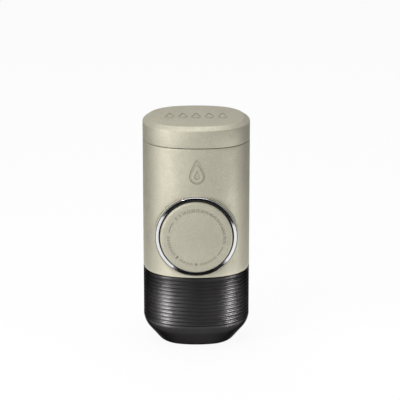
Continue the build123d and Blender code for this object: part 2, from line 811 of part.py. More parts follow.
return_spring = coil(
    spring_radius,
    spring_wire / 2,
    carriage_front - carriage_plate - flange_front - 2 * spring_seat_gap,
    spring_turns,
    button_plane.offset(flange_front + spring_seat_gap),
)
save(return_spring, "return_spring")


# ================================================================ check valves
def valve_seat(bottom_z):
    """Seat insert with a conical mouth for the ball."""
    with BuildPart() as seat:
        with BuildSketch(Plane.XY.offset(bottom_z)):
            with Locations((0, valve_y)):
                Circle(valve_bore - running_gap)
        extrude(amount=seat_height)
        with BuildSketch(Plane.XY.offset(bottom_z)):
            with Locations((0, valve_y)):
                Circle(port_radius)
        extrude(amount=seat_height, mode=Mode.SUBTRACT)
        with BuildSketch(Plane.XY.offset(bottom_z + seat_height)):
            with Locations((0, valve_y)):
                Circle(port_radius + seat_cone)
        extrude(amount=-seat_cone, taper=45, mode=Mode.SUBTRACT)
    return seat.part


def valve_ball(seat_bottom_z):
    """Ball that rests in the cone of the seat below it."""
    with BuildPart() as ball:
        with Locations((0, valve_y, seat_bottom_z + ball_centre)):
            Sphere(ball_radius)
    return ball.part


save(valve_seat(inlet_seat_z), "inlet_valve_seat")
save(valve_ball(inlet_seat_z), "inlet_valve_ball")
inlet_spring = coil(
    valve_spring_radius,
    valve_wire / 2,
    inlet_roof_z - inlet_seat_z - ball_shoulder - running_gap,
    valve_spring_turns,
    Plane(origin=(0, valve_y, inlet_seat_z + ball_shoulder)),
)
save(inlet_spring, "inlet_valve_spring")

save(valve_seat(outlet_floor_z), "outlet_valve_seat")
save(valve_ball(outlet_floor_z), "outlet_valve_ball")
outlet_spring = coil(
    valve_spring_radius,
    valve_wire / 2,
    outlet_cap_z - outlet_floor_z - ball_shoulder - running_gap,
    valve_spring_turns,
    Plane(origin=(0, valve_y, outlet_floor_z + ball_shoulder)),
)
save(outlet_spring, "outlet_valve_spring")

with BuildPart() as outlet_valve_cap:
    with BuildSketch(Plane.XY.offset(outlet_cap_z)):
        with Locations((0, valve_y)):
            Circle(valve_bore - running_gap)
            Circle(port_radius, mode=Mode.SUBTRACT)
    extrude(amount=valve_cap_height)
save(outlet_valve_cap.part, "outlet_valve_cap")

# ================================================================ piston
with BuildPart() as piston_carriage:
    with BuildSketch(button_plane.offset(carriage_back)):
        Circle(guide_radius)
    extrude(amount=carriage_front - carriage_back)
    with BuildSketch(button_plane.offset(carriage_back)):
        Circle(guide_radius - carriage_wall)
    extrude(amount=carriage_front - carriage_plate - carriage_back, mode=Mode.SUBTRACT)
    with BuildSketch(button_plane.offset(carriage_front - carriage_plate)):
        Circle(hub_radius)
    extrude(amount=-hub_length)
    with BuildSketch(button_plane.offset(carriage_front)):
        Circle(rod_radius + running_gap)
    extrude(amount=-carriage_plate - hub_length, mode=Mode.SUBTRACT)
save(piston_carriage.part, "piston_carriage")

with BuildPart() as piston_rod:
    with BuildSketch(button_plane.offset(rod_front)):
        Circle(rod_radius)
    extrude(amount=-rod_front - rod_back)
    with BuildSketch(button_plane.offset(rod_front)):
        Circle(small_screw_radius + running_gap)
    extrude(amount=-pivot_screw_length - fit_gap, mode=Mode.SUBTRACT)
    with BuildSketch(button_plane.offset(-rod_back)):
        Circle(small_screw_radius + running_gap)
    extrude(amount=piston_screw_length, mode=Mode.SUBTRACT)
save(piston_rod.part, "piston_rod")

save(
    screw(small_screw_radius, pivot_screw_length, pivot_head, pivot_head_height, button_plane.offset(rod_front)),
    "pivot_screw",
)

with BuildPart() as piston_head:
    with BuildSketch(button_plane.offset(-piston_face)):
        Circle(bore_radius - piston_gap)
    extrude(amount=piston_length)
    with BuildSketch(button_plane.offset(-piston_face + piston_length / 2 - seal_width / 2)):
        Circle(bore_radius)
        Circle(bore_radius - piston_gap - seal_height, mode=Mode.SUBTRACT)
    extrude(amount=seal_width, mode=Mode.SUBTRACT)
    with BuildSketch(button_plane.offset(-rod_back)):
        Circle(rod_radius + running_gap)
    extrude(amount=rod_back - piston_face + piston_length, mode=Mode.SUBTRACT)
    with BuildSketch(button_plane.offset(-piston_face)):
        Circle(small_screw_radius + fit_gap)
    extrude(amount=piston_face - rod_back, mode=Mode.SUBTRACT)
    with BuildSketch(button_plane.offset(-piston_face)):
        Circle(piston_screw_head + fit_gap)
    extrude(amount=piston_screw_sink, mode=Mode.SUBTRACT)
save(piston_head.part, "piston_head")

with BuildPart() as piston_seal:
    with BuildSketch(button_plane.offset(-piston_face + piston_length / 2 - seal_width / 2 + running_gap)):
        Circle(bore_radius - running_gap)
        Circle(bore_radius - piston_gap - seal_height + running_gap, mode=Mode.SUBTRACT)
    extrude(amount=seal_width - 2 * running_gap)
save(piston_seal.part, "piston_seal")

piston_screw_plane = Plane(origin=(0, piston_face - piston_screw_sink, button_z), z_dir=(0, 1, 0))
save(
    screw(small_screw_radius, piston_screw_length, piston_screw_head, piston_screw_head_height, piston_screw_plane),
    "piston_screw",
)

# ================================================================ button
with BuildPart() as cap_dome:
    with Locations(button_plane.offset(cap_front + dome_height - dome_sphere)):
        Sphere(dome_sphere)
    with BuildSketch(button_plane.offset(cap_front)):
        Circle(dome_radius)
    extrude(amount=dome_height, mode=Mode.INTERSECT)

with BuildPart() as button_cap:
    with BuildSketch(button_plane.offset(cap_front)):
        Circle(cap_radius)
    extrude(amount=-cap_depth)
    chamfer(button_cap.edges().sort_by(Axis.Y)[0], cap_edge)
    with BuildSketch(button_plane.offset(cap_front - cap_depth)):
        Circle(cap_radius - cap_rim)
    extrude(amount=cap_depth - cap_plate, mode=Mode.SUBTRACT)
    add(cap_dome.part)
    with BuildSketch(button_plane.offset(cap_front - cap_plate)):
        with PolarLocations(cap_screw_ring, lug_count, start_angle=first_cap_screw):
            Circle(small_screw_radius + running_gap)
    extrude(amount=cap_screw_bite, mode=Mode.SUBTRACT)
save(button_cap.part, "button_cap")

with BuildPart() as lock_ring:
    with BuildSketch(button_plane.offset(lock_disc_back)):
        Circle(lock_disc_radius)
    extrude(amount=lock_disc_front - lock_disc_back)
    with BuildSketch(button_plane.offset(lug_back)):
        for number in range(lug_count):
            add(ring_sector(lug_root, lug_reach, first_lug + 360 / lug_count * number, lug_arc))
    extrude(amount=lug_front - lug_back)
    with BuildSketch(button_plane.offset(lock_disc_back)):
        Circle(rod_radius + running_gap)
    extrude(amount=lock_disc_front - lock_disc_back, mode=Mode.SUBTRACT)
    with BuildSketch(button_plane.offset(rod_front - running_gap)):
        Circle(pivot_head + fit_gap)
    extrude(amount=lock_disc_front - rod_front + running_gap, mode=Mode.SUBTRACT)
    with BuildSketch(button_plane.offset(lock_disc_back)):
        with PolarLocations(cap_screw_ring, lug_count, start_angle=first_cap_screw):
            Circle(small_screw_radius + fit_gap)
    extrude(amount=lock_disc_front - lock_disc_back, mode=Mode.SUBTRACT)
    with BuildSketch(button_plane.offset(lock_disc_back)):
        with PolarLocations(cap_screw_ring, lug_count, start_angle=first_cap_screw):
            Circle(small_screw_head + fit_gap)
    extrude(amount=small_screw_head_height, mode=Mode.SUBTRACT)
save(lock_ring.part, "lock_ring")

cap_screw_plane = Plane(origin=(0, -lock_disc_back - small_screw_head_height, button_z), z_dir=(0, 1, 0))
cap_screw_reach = cap_front - cap_plate - lock_disc_back - small_screw_head_height + cap_screw_bite - fit_gap
cap_screw = screw(small_screw_radius, cap_screw_reach, small_screw_head, small_screw_head_height, cap_screw_plane)
button_axis = Axis((0, 0, button_z), (0, -1, 0))
cap_screws = [
    (Pos(cap_screw_ring, 0, 0) * cap_screw).rotate(button_axis, first_cap_screw + 360 / lug_count * number)
    for number in range(lug_count)
]
save(Compound(children=cap_screws), "cap_screws")

# ================================================================ water tank
with BuildPart() as groove_cutter:
    with BuildLine() as groove_path:
        add(rounded_square(groove_depth - groove_radius).wires())
    with BuildSketch(Plane(origin=groove_path.line @ 0, z_dir=groove_path.line % 0)):
        Circle(groove_radius)
    sweep()

with BuildPart() as water_tank:
    with BuildSketch(Plane.XY):
        add(rounded_square(foot_inset))
    extrude(amount=shoulder_z, taper=-foot_angle)
    with BuildSketch(Plane.XY.offset(shoulder_z)):
        add(rounded_square())
    extrude(amount=tank_top_z - shoulder_z)
    fillet(water_tank.edges().group_by(Axis.Z)[0], foot_round)
    shoulder_edges = water_tank.edges().filter_by_position(Axis.Z, shoulder_z - edge_round, shoulder_z + edge_round)
    fillet(shoulder_edges, shoulder_round)
    fillet(water_tank.edges().group_by(Axis.Z)[-1], edge_round)
    with Locations([(0, 0, top_groove_z - groove_pitch * number) for number in range(groove_count)]):
        add(groove_cutter.part, mode=Mode.SUBTRACT)
    with BuildSketch(Plane.XY.offset(tank_floor)):
        add(rounded_square(cavity_inset))
    extrude(amount=cavity_shoulder_z - tank_floor, taper=-foot_angle, mode=Mode.SUBTRACT)
    with BuildSketch(Plane.XY.offset(cavity_shoulder_z)):
        add(rounded_square(tank_wall))
    extrude(amount=tank_top_z - tank_shoulder - cavity_shoulder_z, mode=Mode.SUBTRACT)
    with BuildSketch(Plane.XY.offset(tank_top_z - tank_shoulder)):
        Circle(neck_radius)
    extrude(amount=neck_top_z - tank_top_z + tank_shoulder)
    with BuildSketch(Plane.XY.offset(tank_top_z - tank_shoulder)):
        Circle(neck_radius - neck_wall)
    extrude(amount=neck_top_z - tank_top_z + tank_shoulder, mode=Mode.SUBTRACT)
    add(thread_ridges(neck_radius, thread_depth, (tank_joint_z + neck_top_z) / 2))
save(water_tank.part, "water_tank")
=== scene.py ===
# %% [markdown]
# # A handheld espresso maker
#
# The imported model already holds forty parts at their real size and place. This notebook dresses them. The
# five outer parts that a hand touches are modelled again with rounded edges, grooves and markings, and so is
# the spring behind the button. The other parts keep their shape and get real finishes, and a small studio
# lights the result.

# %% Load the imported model
from math import atan2, cos, degrees, hypot, pi, radians, sin, sqrt, tan

import bmesh
import bpy
from mathutils import Matrix, Vector


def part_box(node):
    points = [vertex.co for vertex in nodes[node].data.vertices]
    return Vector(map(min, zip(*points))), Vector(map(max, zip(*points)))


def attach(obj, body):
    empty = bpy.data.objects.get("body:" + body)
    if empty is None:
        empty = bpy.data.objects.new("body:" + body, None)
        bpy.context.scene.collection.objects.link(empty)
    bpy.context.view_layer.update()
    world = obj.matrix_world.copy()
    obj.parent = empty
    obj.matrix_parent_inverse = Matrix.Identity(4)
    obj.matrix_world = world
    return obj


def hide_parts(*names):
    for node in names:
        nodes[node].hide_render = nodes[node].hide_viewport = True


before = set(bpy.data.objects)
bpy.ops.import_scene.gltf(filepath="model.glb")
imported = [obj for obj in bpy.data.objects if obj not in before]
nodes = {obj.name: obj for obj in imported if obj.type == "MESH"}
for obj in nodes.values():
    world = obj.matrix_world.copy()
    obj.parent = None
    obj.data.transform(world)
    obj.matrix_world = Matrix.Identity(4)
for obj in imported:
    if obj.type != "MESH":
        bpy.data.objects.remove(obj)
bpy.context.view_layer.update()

MM = 0.001

# %% [markdown]
# ## Measures
#
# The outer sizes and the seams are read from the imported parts, so that the new parts meet the old ones.
# What a box can't tell, such as a wall, a round or a groove, is typed where it is first used. The casing,
# the lid and the tank share one section: a rounded square of eight arcs that run smoothly into each other,
# four wide ones for the sides and four narrow ones for the corners.

# %% Measures of the outer parts
lid_low, lid_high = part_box("lid_shell")
casing_low, casing_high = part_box("body_shell")
_, tank_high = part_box("water_tank")
ring_low, ring_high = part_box("bezel_ring")
cap_low, cap_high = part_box("button_cap")
half_width = lid_high.x
ring_radius = ring_high.x
cap_radius = cap_high.x
side_radius = 48 * MM
corner_radius = 24.2 * MM
button_height = (ring_low.z + ring_high.z) / 2
side_offset = side_radius - half_width
corner_offset = (sqrt(2 * (side_radius - corner_radius) ** 2 - side_offset**2) - side_offset) / 2
side_angle = 2 * atan2(corner_offset, corner_offset + side_offset)
print(f"half width {half_width / MM:.1f} mm, button axis at {button_height / MM:.2f} mm")
print(f"each side arc turns through {degrees(side_angle):.1f} degrees")

# %% [markdown]
# ## Working by hand, in code
#
# Blender's modelling tools act on whatever is selected, as they do under the mouse. Data could also be
# written straight into a mesh, but then nothing of it can be repeated by hand. So a few helpers do what a
# hand does: they open a piece with nothing selected, pick faces or edges by where they are and which way
# they point, and close the piece with its normals outwards and its sharp edges kept.


# %% Selection helpers
near = 0.01 * MM
upright = 0.9


def open_piece(piece):
    """Opens one piece in edit mode with nothing selected."""
    bpy.ops.object.select_all(action="DESELECT")
    bpy.context.view_layer.objects.active = piece
    piece.select_set(True)
    bpy.ops.object.mode_set(mode="EDIT")
    bpy.ops.mesh.select_all(action="DESELECT")


def pick_faces(wanted):
    """Selects the faces whose centre and normal pass the test."""
    bpy.ops.mesh.select_mode(type="FACE")
    bpy.ops.mesh.select_all(action="DESELECT")
    mesh = bmesh.from_edit_mesh(bpy.context.object.data)
    for face in mesh.faces:
        if wanted(face.calc_center_median(), face.normal):
            face.select_set(True)
    bmesh.update_edit_mesh(bpy.context.object.data)


def pick_top():
    """Selects the faces that look straight up."""
    pick_faces(lambda centre, normal: normal.z > upright)


def pick_bottom():
    """Selects the faces that look straight down."""
    pick_faces(lambda centre, normal: normal.z < -upright)


def pick_rim(height):
    """Selects the edges that lie level at a height."""
    bpy.ops.mesh.select_mode(type="EDGE")
    bpy.ops.mesh.select_all(action="DESELECT")
    mesh = bmesh.from_edit_mesh(bpy.context.object.data)
    for edge in mesh.edges:
        if all(abs(corner.co.z - height) < near for corner in edge.verts):
            edge.select_set(True)
    bmesh.update_edit_mesh(bpy.context.object.data)


print(f"edges within {near / MM:.2f} mm of a height count as level with it")

# %% [markdown]
# Three short tools follow on from a selection. One bevels a rim, one extrudes straight up, and one ends the
# work on a piece: it merges doubles, turns every face outwards and shades all but the sharp edges smooth.

# %% Tools that work on the selection
merge_distance = 0.002 * MM


def round_rim(height, width, segments=3):
    """Bevels the level edges at a height."""
    pick_rim(height)
    bpy.ops.mesh.bevel(offset=width, segments=segments, affect="EDGES")


def rise(distance):
    """Extrudes what is selected straight up."""
    bpy.ops.mesh.extrude_region_move(TRANSFORM_OT_translate={"value": (0, 0, distance)})


def close_piece(piece, crease=35):
    """Merges doubles, points the faces outwards and smooths edges up to an angle in degrees."""
    bpy.ops.mesh.select_mode(type="VERT")
    bpy.ops.mesh.select_all(action="SELECT")
    bpy.ops.mesh.remove_doubles(threshold=merge_distance)
    bpy.ops.mesh.normals_make_consistent(inside=False)
    bpy.ops.object.mode_set(mode="OBJECT")
    bpy.ops.object.shade_smooth_by_angle(angle=radians(crease))
    print(f"{piece.name}: {len(piece.data.polygons)} faces")


print(f"points closer than {merge_distance / MM:.3f} mm are merged")

# %% [markdown]
# ## The shared section
#
# The rounded square could be a circle with moved points, but its sides would then be flat or lumpy. It is
# drawn as with a compass: a single point is swept by Spin round eight centres in turn. Each arc starts
# where the last one ended and in the same direction, so the section has no kink at any size.

# %% The casing's section, swept point by point
arc_steps = 14
section_corner = Vector((corner_offset, corner_offset))


def section_face(name, height, inset=0.0):
    """The section as one flat face at a height, drawn in by an inset."""
    bpy.ops.object.select_all(action="DESELECT")
    start = Vector((sin(-side_angle / 2), cos(side_angle / 2), 0)) * (side_radius - inset)
    bpy.ops.mesh.primitive_plane_add(size=MM, location=(start.x, start.y - side_offset, height))
    bpy.ops.object.transform_apply(location=True)
    piece = bpy.context.object
    piece.name = name
    bpy.ops.object.mode_set(mode="EDIT")
    bpy.ops.mesh.merge(type="CENTER")
    for quarter in range(4):
        turn = quarter * pi / 2
        side_centre = (side_offset * sin(-turn), -side_offset * cos(turn), 0)
        corner_centre = (
            section_corner.x * cos(turn) + section_corner.y * sin(turn),
            section_corner.y * cos(turn) - section_corner.x * sin(turn),
            0,
        )
        bpy.ops.mesh.spin(steps=arc_steps, angle=side_angle, center=side_centre, axis=(0, 0, 1))
        bpy.ops.mesh.spin(steps=arc_steps, angle=pi / 2 - side_angle, center=corner_centre, axis=(0, 0, 1))
    bpy.ops.mesh.select_all(action="SELECT")
    bpy.ops.mesh.remove_doubles(threshold=near)
    bpy.ops.mesh.edge_face_add()
    bpy.ops.object.mode_set(mode="OBJECT")
    return piece


trial = section_face("trial", 0)
trial_reach = max(corner.co.x for corner in trial.data.vertices)
print(f"{len(trial.data.vertices)} points round the section, reach {trial_reach / MM:.3f} mm")
bpy.data.objects.remove(trial)


# %% The section as a block
def section_block(name, low, high, inset=0.0, rows=1):
    """The section as a closed block between two heights, cut into rows, left in edit mode."""
    piece = section_face(name, low, inset)
    open_piece(piece)
    bpy.ops.mesh.select_all(action="SELECT")
    for _ in range(rows):
        rise((high - low) / rows)
    bpy.ops.mesh.select_all(action="SELECT")
    bpy.ops.mesh.normals_make_consistent(inside=False)
    return piece


# %% [markdown]
# ## Turning and cutting
#
# The button, its ring and their seat are turned parts. A cylinder with many inset faces would do, but a
# lathe is simpler: the profile is drawn once, edge by edge, and spun round the button's axis. The second
# tool joins or cuts two closed pieces with a Boolean modifier, as a weld or a mill would.

# %% Lathe and cutter
turning_steps = 128


def turned_piece(name, profile):
    """Spins a profile of (radius, distance in front of the main axis) round the button's axis."""
    bpy.ops.object.select_all(action="DESELECT")
    first_radius, first_front = profile[0]
    bpy.ops.mesh.primitive_plane_add(size=MM, location=(first_radius, -first_front, button_height))
    bpy.ops.object.transform_apply(location=True)
    piece = bpy.context.object
    piece.name = name
    bpy.ops.object.mode_set(mode="EDIT")
    bpy.ops.mesh.merge(type="CENTER")
    for (radius, front), (next_radius, next_front) in zip(profile, profile[1:]):
        step = (next_radius - radius, front - next_front, 0)
        bpy.ops.mesh.extrude_region_move(TRANSFORM_OT_translate={"value": step})
    bpy.ops.mesh.select_all(action="SELECT")
    bpy.ops.mesh.spin(steps=turning_steps, angle=2 * pi, center=(0, 0, button_height), axis=(0, 1, 0))
    return piece


def cut(piece, tool, operation="DIFFERENCE", overlapping=False):
    """Applies one Boolean with a tool piece, whose own parts may overlap, and removes the tool."""
    bpy.ops.object.select_all(action="DESELECT")
    bpy.context.view_layer.objects.active = piece
    piece.select_set(True)
    boolean = piece.modifiers.new("cut", "BOOLEAN")
    boolean.operation = operation
    boolean.solver = "EXACT"
    boolean.use_self = overlapping
    boolean.material_mode = "TRANSFER"
    boolean.object = tool
    bpy.ops.object.modifier_apply(modifier=boolean.name)
    bpy.data.objects.remove(tool)


print(f"turned parts have {turning_steps} steps round")

# %% [markdown]
# ## Lid
#
# The lid is a deep-drawn cover that slides over the neck of the brewing chamber: a straight wall, a wide
# bevel round the top and a flat face. A Bevel modifier on a plain block would round every edge alike. Here
# the section is extruded, and a single inset that also rises makes the wide bevel. A second inset, from
# below, hollows the lid, so that its wall has a real thickness when it is lifted off.

# %% Lid cover
lid_bevel_run = 3.4 * MM
lid_bevel_height = 2.2 * MM
lid_wall = 1.7 * MM
lid_edge = 0.45 * MM
mouth_edge = 0.18 * MM
mouth_band = 0.1 * MM

lid_shoulder = lid_high.z - lid_bevel_height
lid_cover = section_block("lid_cover", lid_low.z, lid_shoulder)
pick_top()
bpy.ops.mesh.inset(thickness=lid_bevel_run, depth=lid_bevel_height)
pick_faces(lambda centre, normal: centre.z < lid_low.z + mouth_band)
bpy.ops.mesh.inset(thickness=lid_wall, depth=0)
rise(lid_high.z - lid_wall - lid_low.z)
round_rim(lid_shoulder, lid_edge, segments=4)
round_rim(lid_high.z, lid_edge, segments=4)
round_rim(lid_low.z, mouth_edge, segments=2)
close_piece(lid_cover)

# %% [markdown]
# ## Casing
#
# The casing is one shell, and a round collar that grows out of its front carries the chrome ring. Shell and
# collar could be drawn as one net of faces, but a circle that runs into a curved wall is slow to draw and
# easy to dent. So the two are made apart, as a block and a turned disc, and then joined. The block is cut
# into rows first, which keeps the long thin faces of a Boolean short.

# %% Casing with its collar
row_height = 2 * MM
casing_edge = 0.35 * MM
collar_radius = ring_radius + 0.8 * MM
collar_front = half_width + 0.02 * MM
collar_back = 20 * MM
collar_ease = 0.3 * casing_edge

casing_rows = round((casing_high.z - casing_low.z) / row_height)
casing = section_block("casing", casing_low.z, casing_high.z, rows=casing_rows)
round_rim(casing_low.z, casing_edge)
round_rim(casing_high.z, casing_edge)
close_piece(casing)

collar_profile = [
    (0, collar_back),
    (collar_radius, collar_back),
    (collar_radius, collar_front - casing_edge),
    (collar_radius - collar_ease, collar_front - collar_ease),
    (collar_radius - casing_edge, collar_front),
    (0, collar_front),
]
collar = turned_piece("collar", collar_profile)
close_piece(collar)
cut(casing, collar, "UNION")

# %% [markdown]
# The casing is hollow, and the ring drops into a stepped seat with a small countersink at its mouth. Both
# are taken out with cutters of the same kinds: a smaller section block for the hollow, and a turned disc
# for the seat, whose profile is the seat's own with a little air round the ring.

# %% Hollow and ring seat
overshoot = MM
shell_wall = 1.8 * MM
hollow = section_block("hollow", casing_low.z - overshoot, casing_high.z + overshoot, shell_wall)
close_piece(hollow)
cut(casing, hollow)

ring_bore = cap_radius + 0.5 * MM
seat_gap = 0.1 * MM
seat_mouth = 0.4 * MM
seat_back = 0.5 * half_width
seat_front = 1.3 * half_width
seat_profile = [
    (0, seat_back),
    (ring_bore, seat_back),
    (ring_bore, -ring_high.y),
    (ring_radius + seat_gap, -ring_high.y),
    (ring_radius + seat_gap, collar_front - seat_mouth),
    (ring_radius + seat_gap + seat_mouth, collar_front + near),
    (ring_radius + seat_gap + seat_mouth, seat_front),
    (0, seat_front),
]
seat = turned_piece("seat", seat_profile)
close_piece(seat)
cut(casing, seat)

# %% [markdown]
# ## Pressed drops
#
# The place above the button holds a plain water drop, pressed into the metal, and the lid holds a row of
# five small ones. They could be painted, but a pressed line catches the light on one side and loses it on
# the other. A drop starts as a cylinder whose far side is drawn out to a tip, and one drop cut out of a
# larger one leaves the line.

# %% Drop cutter
drop_corners = 64
drop_waist = 0.45
drop_ends = 3.6


def drop_prism(name, width, length, deep, location, turn=(0, 0, 0)):
    """A flat drop-shaped prism, or one stood up by a turn: a circle drawn out to a tip."""
    radius = width / 2
    bpy.ops.object.select_all(action="DESELECT")
    bpy.ops.mesh.primitive_cylinder_add(vertices=drop_corners, radius=radius, depth=deep)
    piece = bpy.context.object
    piece.name = name
    for corner in piece.data.vertices:
        lift = max(0.0, corner.co.y / radius)
        corner.co.y += lift**2 * (length - width)
        corner.co.x *= 1 - drop_waist * lift**2
    piece.location = location
    piece.rotation_euler = turn
    bpy.ops.object.transform_apply(location=True, rotation=True)
    return piece


def pressed_drop(width, length, line, deep, location, turn=(0, 0, 0)):
    """The outline of a drop as a prism: one drop cut out of another."""
    outer = drop_prism("drop", width, length, deep, location, turn)
    inner = drop_prism("inner_drop", width - 2 * line, length - drop_ends * line, 2 * deep, location, turn)
    cut(outer, inner)
    return outer


print(f"a drop has {drop_corners} corners and narrows by {drop_waist:.0%} at its tip")

# %% [markdown]
# The casing's front is curved, so a flat cutter would sink deeper in the middle than at the sides. The
# cutter is first trimmed by a core that follows the casing's own section, set in by the wanted depth. What
# is left of the cutter takes out the same depth everywhere.

# %% Pressed drop above the button
drop_width = 9.2 * MM
drop_length = 14.4 * MM
drop_line = 1.3 * MM
drop_depth = 0.4 * MM
drop_core_width = 3.2 * MM
drop_core_length = 5.4 * MM
drop_core_rise = 0.46 * drop_width
drop_bottom = button_height + 30.85 * MM
drop_tip = drop_bottom + drop_length
drop_middle = 0.5 * MM
cutter_depth = 8 * MM
stood_up = (pi / 2, 0, 0)

drop_place = (drop_middle, -half_width, drop_bottom + drop_width / 2)
drop = pressed_drop(drop_width, drop_length, drop_line, cutter_depth, drop_place, stood_up)
core_place = (drop_middle, -half_width, drop_bottom + drop_core_rise)
drop_core = drop_prism("drop_core", drop_core_width, drop_core_length, cutter_depth, core_place, stood_up)
cut(drop, drop_core, "UNION")
core = section_block("core", drop_bottom - overshoot, drop_tip + overshoot, drop_depth)
close_piece(core)
cut(drop, core)
cut(casing, drop)
open_piece(casing)
close_piece(casing, crease=30)

# %% [markdown]
# The lid's top is flat, so its five drops need no trimming. A cutter is made for each, half above the
# surface and half in it, and the loop spaces them evenly about the middle.

# %% Row of small drops on the lid
lid_drops = 5
lid_drop_pitch = 7.6 * MM
lid_drop_width = 5.6 * MM
lid_drop_length = 13.0 * MM
lid_drop_line = 0.95 * MM
lid_drop_depth = 0.25 * MM
lid_drop_front = 0.25 * lid_drop_length

for number in range(lid_drops):
    across = (number - (lid_drops - 1) / 2) * lid_drop_pitch
    mark_place = (across, -lid_drop_front, lid_high.z)
    mark = pressed_drop(lid_drop_width, lid_drop_length, lid_drop_line, 2 * lid_drop_depth, mark_place)
    cut(lid_cover, mark)
open_piece(lid_cover)
close_piece(lid_cover, crease=30)

# %% [markdown]
# ## Chrome ring
#
# The ring is turned and chromed: a narrow flat land outside and a shallow cone that falls towards the
# button. A torus would be quicker, but a round ring mirrors the whole room at once. The cone is what makes
# it read as chrome, because its sides mirror the bright room while its top and bottom mirror the dark cards
# in front. A black lip inside it is painted shade: it deepens the dark shadow line round the button.

# %% Bezel
ring_front = -ring_low.y
cone_width = 1.8 * MM
cone_depth = 0.22 * MM
ring_edge = 0.18 * MM
lip_width = 0.4 * MM
lip_depth = 0.3 * MM

bezel_profile = [
    (ring_bore, -ring_high.y),
    (ring_bore, ring_front - cone_depth - lip_depth),
    (ring_bore + lip_width, ring_front - cone_depth - lip_depth),
    (ring_bore + lip_width, ring_front - cone_depth),
    (ring_bore + cone_width, ring_front),
    (ring_radius - ring_edge, ring_front),
    (ring_radius, ring_front - ring_edge),
    (ring_radius, -ring_high.y),
    (ring_bore, -ring_high.y),
]
bezel = turned_piece("bezel", bezel_profile)
close_piece(bezel, crease=5)

# %% [markdown]
# A piece can wear more than one finish. Its faces say by number which of its slots they use, so the faces
# that lie within the lip get the second slot, a black that paints the shade of the gap, and all others keep
# the first.

# %% Black lip of the ring, painted shade
bezel.data.materials.append(bpy.data.materials.new("bright_chrome"))
bezel.data.materials.append(bpy.data.materials.new("black_moulding_and_gap_shade"))
gap_shade_reach = ring_bore + lip_width + near


def reach_from_axis(piece, face):
    """How far the farthest corner of a face lies from the button's axis."""
    corners = [piece.data.vertices[index].co for index in face.vertices]
    return max(hypot(corner.x, corner.z - button_height) for corner in corners)


# faces within the lip wear the black that paints the shade of the gap
for face in bezel.data.polygons:
    face.material_index = 1 if reach_from_axis(bezel, face) < gap_shade_reach else 0
print(f"{sum(face.material_index for face in bezel.data.polygons)} faces belong to the lip")

# %% [markdown]
# ## Button
#
# The cap is a turned disc with a bevelled rim and a middle that is raised by half a millimetre at most. A
# scaled sphere would give the swelling but no clean edge, so the whole front is one profile: the rim, a
# flat land, and a dome that a formula works out in a dozen steps.

# %% Cap
dome_radius = 14.5 * MM
dome_height = 0.5 * MM
dome_steps = 12
cap_plane = -cap_low.y - dome_height
cap_edge = 0.8 * MM
cap_edge_steps = ((0.0, 1.0), (0.15, 0.7), (0.8, 0.1), (1.1, 0.0))
cap_plate = 2.0 * MM
cap_rim = 1.45 * MM
cap_back = -cap_high.y

cap_profile = [
    (0, cap_plane - cap_plate),
    (cap_radius - cap_rim, cap_plane - cap_plate),
    (cap_radius - cap_rim, cap_back),
    (cap_radius, cap_back),
]
for inward, back in cap_edge_steps:
    cap_profile.append((cap_radius - inward * cap_edge, cap_plane - back * cap_edge))
cap_profile.append(((cap_radius + dome_radius) / 2, cap_plane))
for step in reversed(range(dome_steps + 1)):
    outward = step / dome_steps
    cap_profile.append((dome_radius * outward, cap_plane + dome_height * (1 - outward**2)))
push_button = turned_piece("push_button", cap_profile)
close_piece(push_button, crease=30)

# %% [markdown]
# ## Engraved scale
#
# The cap's markings are engraved like those of a dial: plain numbers on the upper arc, fine strokes on the
# lower one, two bars between them, and a padlock for each end of the button's turn. Marks that are only
# painted on would be flat and would blur close up. So each mark is a small solid cutter, stood up in the
# cap's front plane and turned to its place, and one Boolean takes them all out together.

# %% Cutters for the engraving
mark_radius = 15.9 * MM
mark_depth = 0.12 * MM
cutters = []


def keep_cutter(piece, angle):
    """Stands a flat cutter up in the cap's front plane, out on the scale, turned clockwise by an angle."""
    turn = Matrix.Translation((0, -cap_plane, button_height)) @ Matrix.Rotation(radians(angle), 4, "Y")
    piece.data.transform(turn @ Matrix.Translation((0, 0, mark_radius)) @ Matrix.Rotation(pi / 2, 4, "X"))
    cutters.append(piece)


def flat_box(width, length, centre=(0, 0, 0)):
    """A flat box, twice the engraving's depth, for one stroke."""
    bpy.ops.mesh.primitive_cube_add(size=1)
    piece = bpy.context.object
    piece.data.transform(Matrix.Translation(centre) @ Matrix.Diagonal((width, length, 2 * mark_depth, 1)))
    return piece


print(f"marks {mark_depth / MM:.2f} mm deep, {mark_radius / MM:.1f} mm from the button's axis")

# %% [markdown]
# Each number is a text object with a little thickness, made into a mesh before it is placed. Its outline is
# swollen slightly, because a graver can't cut a hairline.

# %% Numbers
digit_size = 2.45 * MM
digit_swell = 0.035 * MM
digit_curves = 3
number_first, number_last = -45.0, 99.0
number_count = 16
number_step = 5

for number in range(number_count):
    bpy.ops.object.text_add()
    label = bpy.context.object
    label.data.body = str(number_step * number)
    label.data.size = digit_size
    label.data.align_x = "CENTER"
    label.data.align_y = "CENTER"
    label.data.extrude = mark_depth
    label.data.offset = digit_swell
    label.data.resolution_u = digit_curves
    bpy.ops.object.convert(target="MESH")
    along = number / (number_count - 1)
    keep_cutter(bpy.context.object, number_first + along * (number_last - number_first))
print(f"{len(cutters)} numbers, from 0 to {number_step * (number_count - 1)}")

# %% [markdown]
# The strokes run along three stretches of the lower arc, every other one shorter. A bar is a bent line, and
# a chain of short boxes that overlap a little follows its arc closely enough to look bent.

# %% Strokes and bars
stroke_width = 0.38 * MM
stroke_length = 1.8 * MM
short_stroke = 0.6
stroke_arcs = ((136.0, 172.0), (187.0, 216.0), (231.0, 272.0))
stroke_pitch = 3.6
bar_arcs = ((-79.0, -55.0), (109.0, 130.0))
bar_width = 0.42 * MM
link_overlap = 1.02

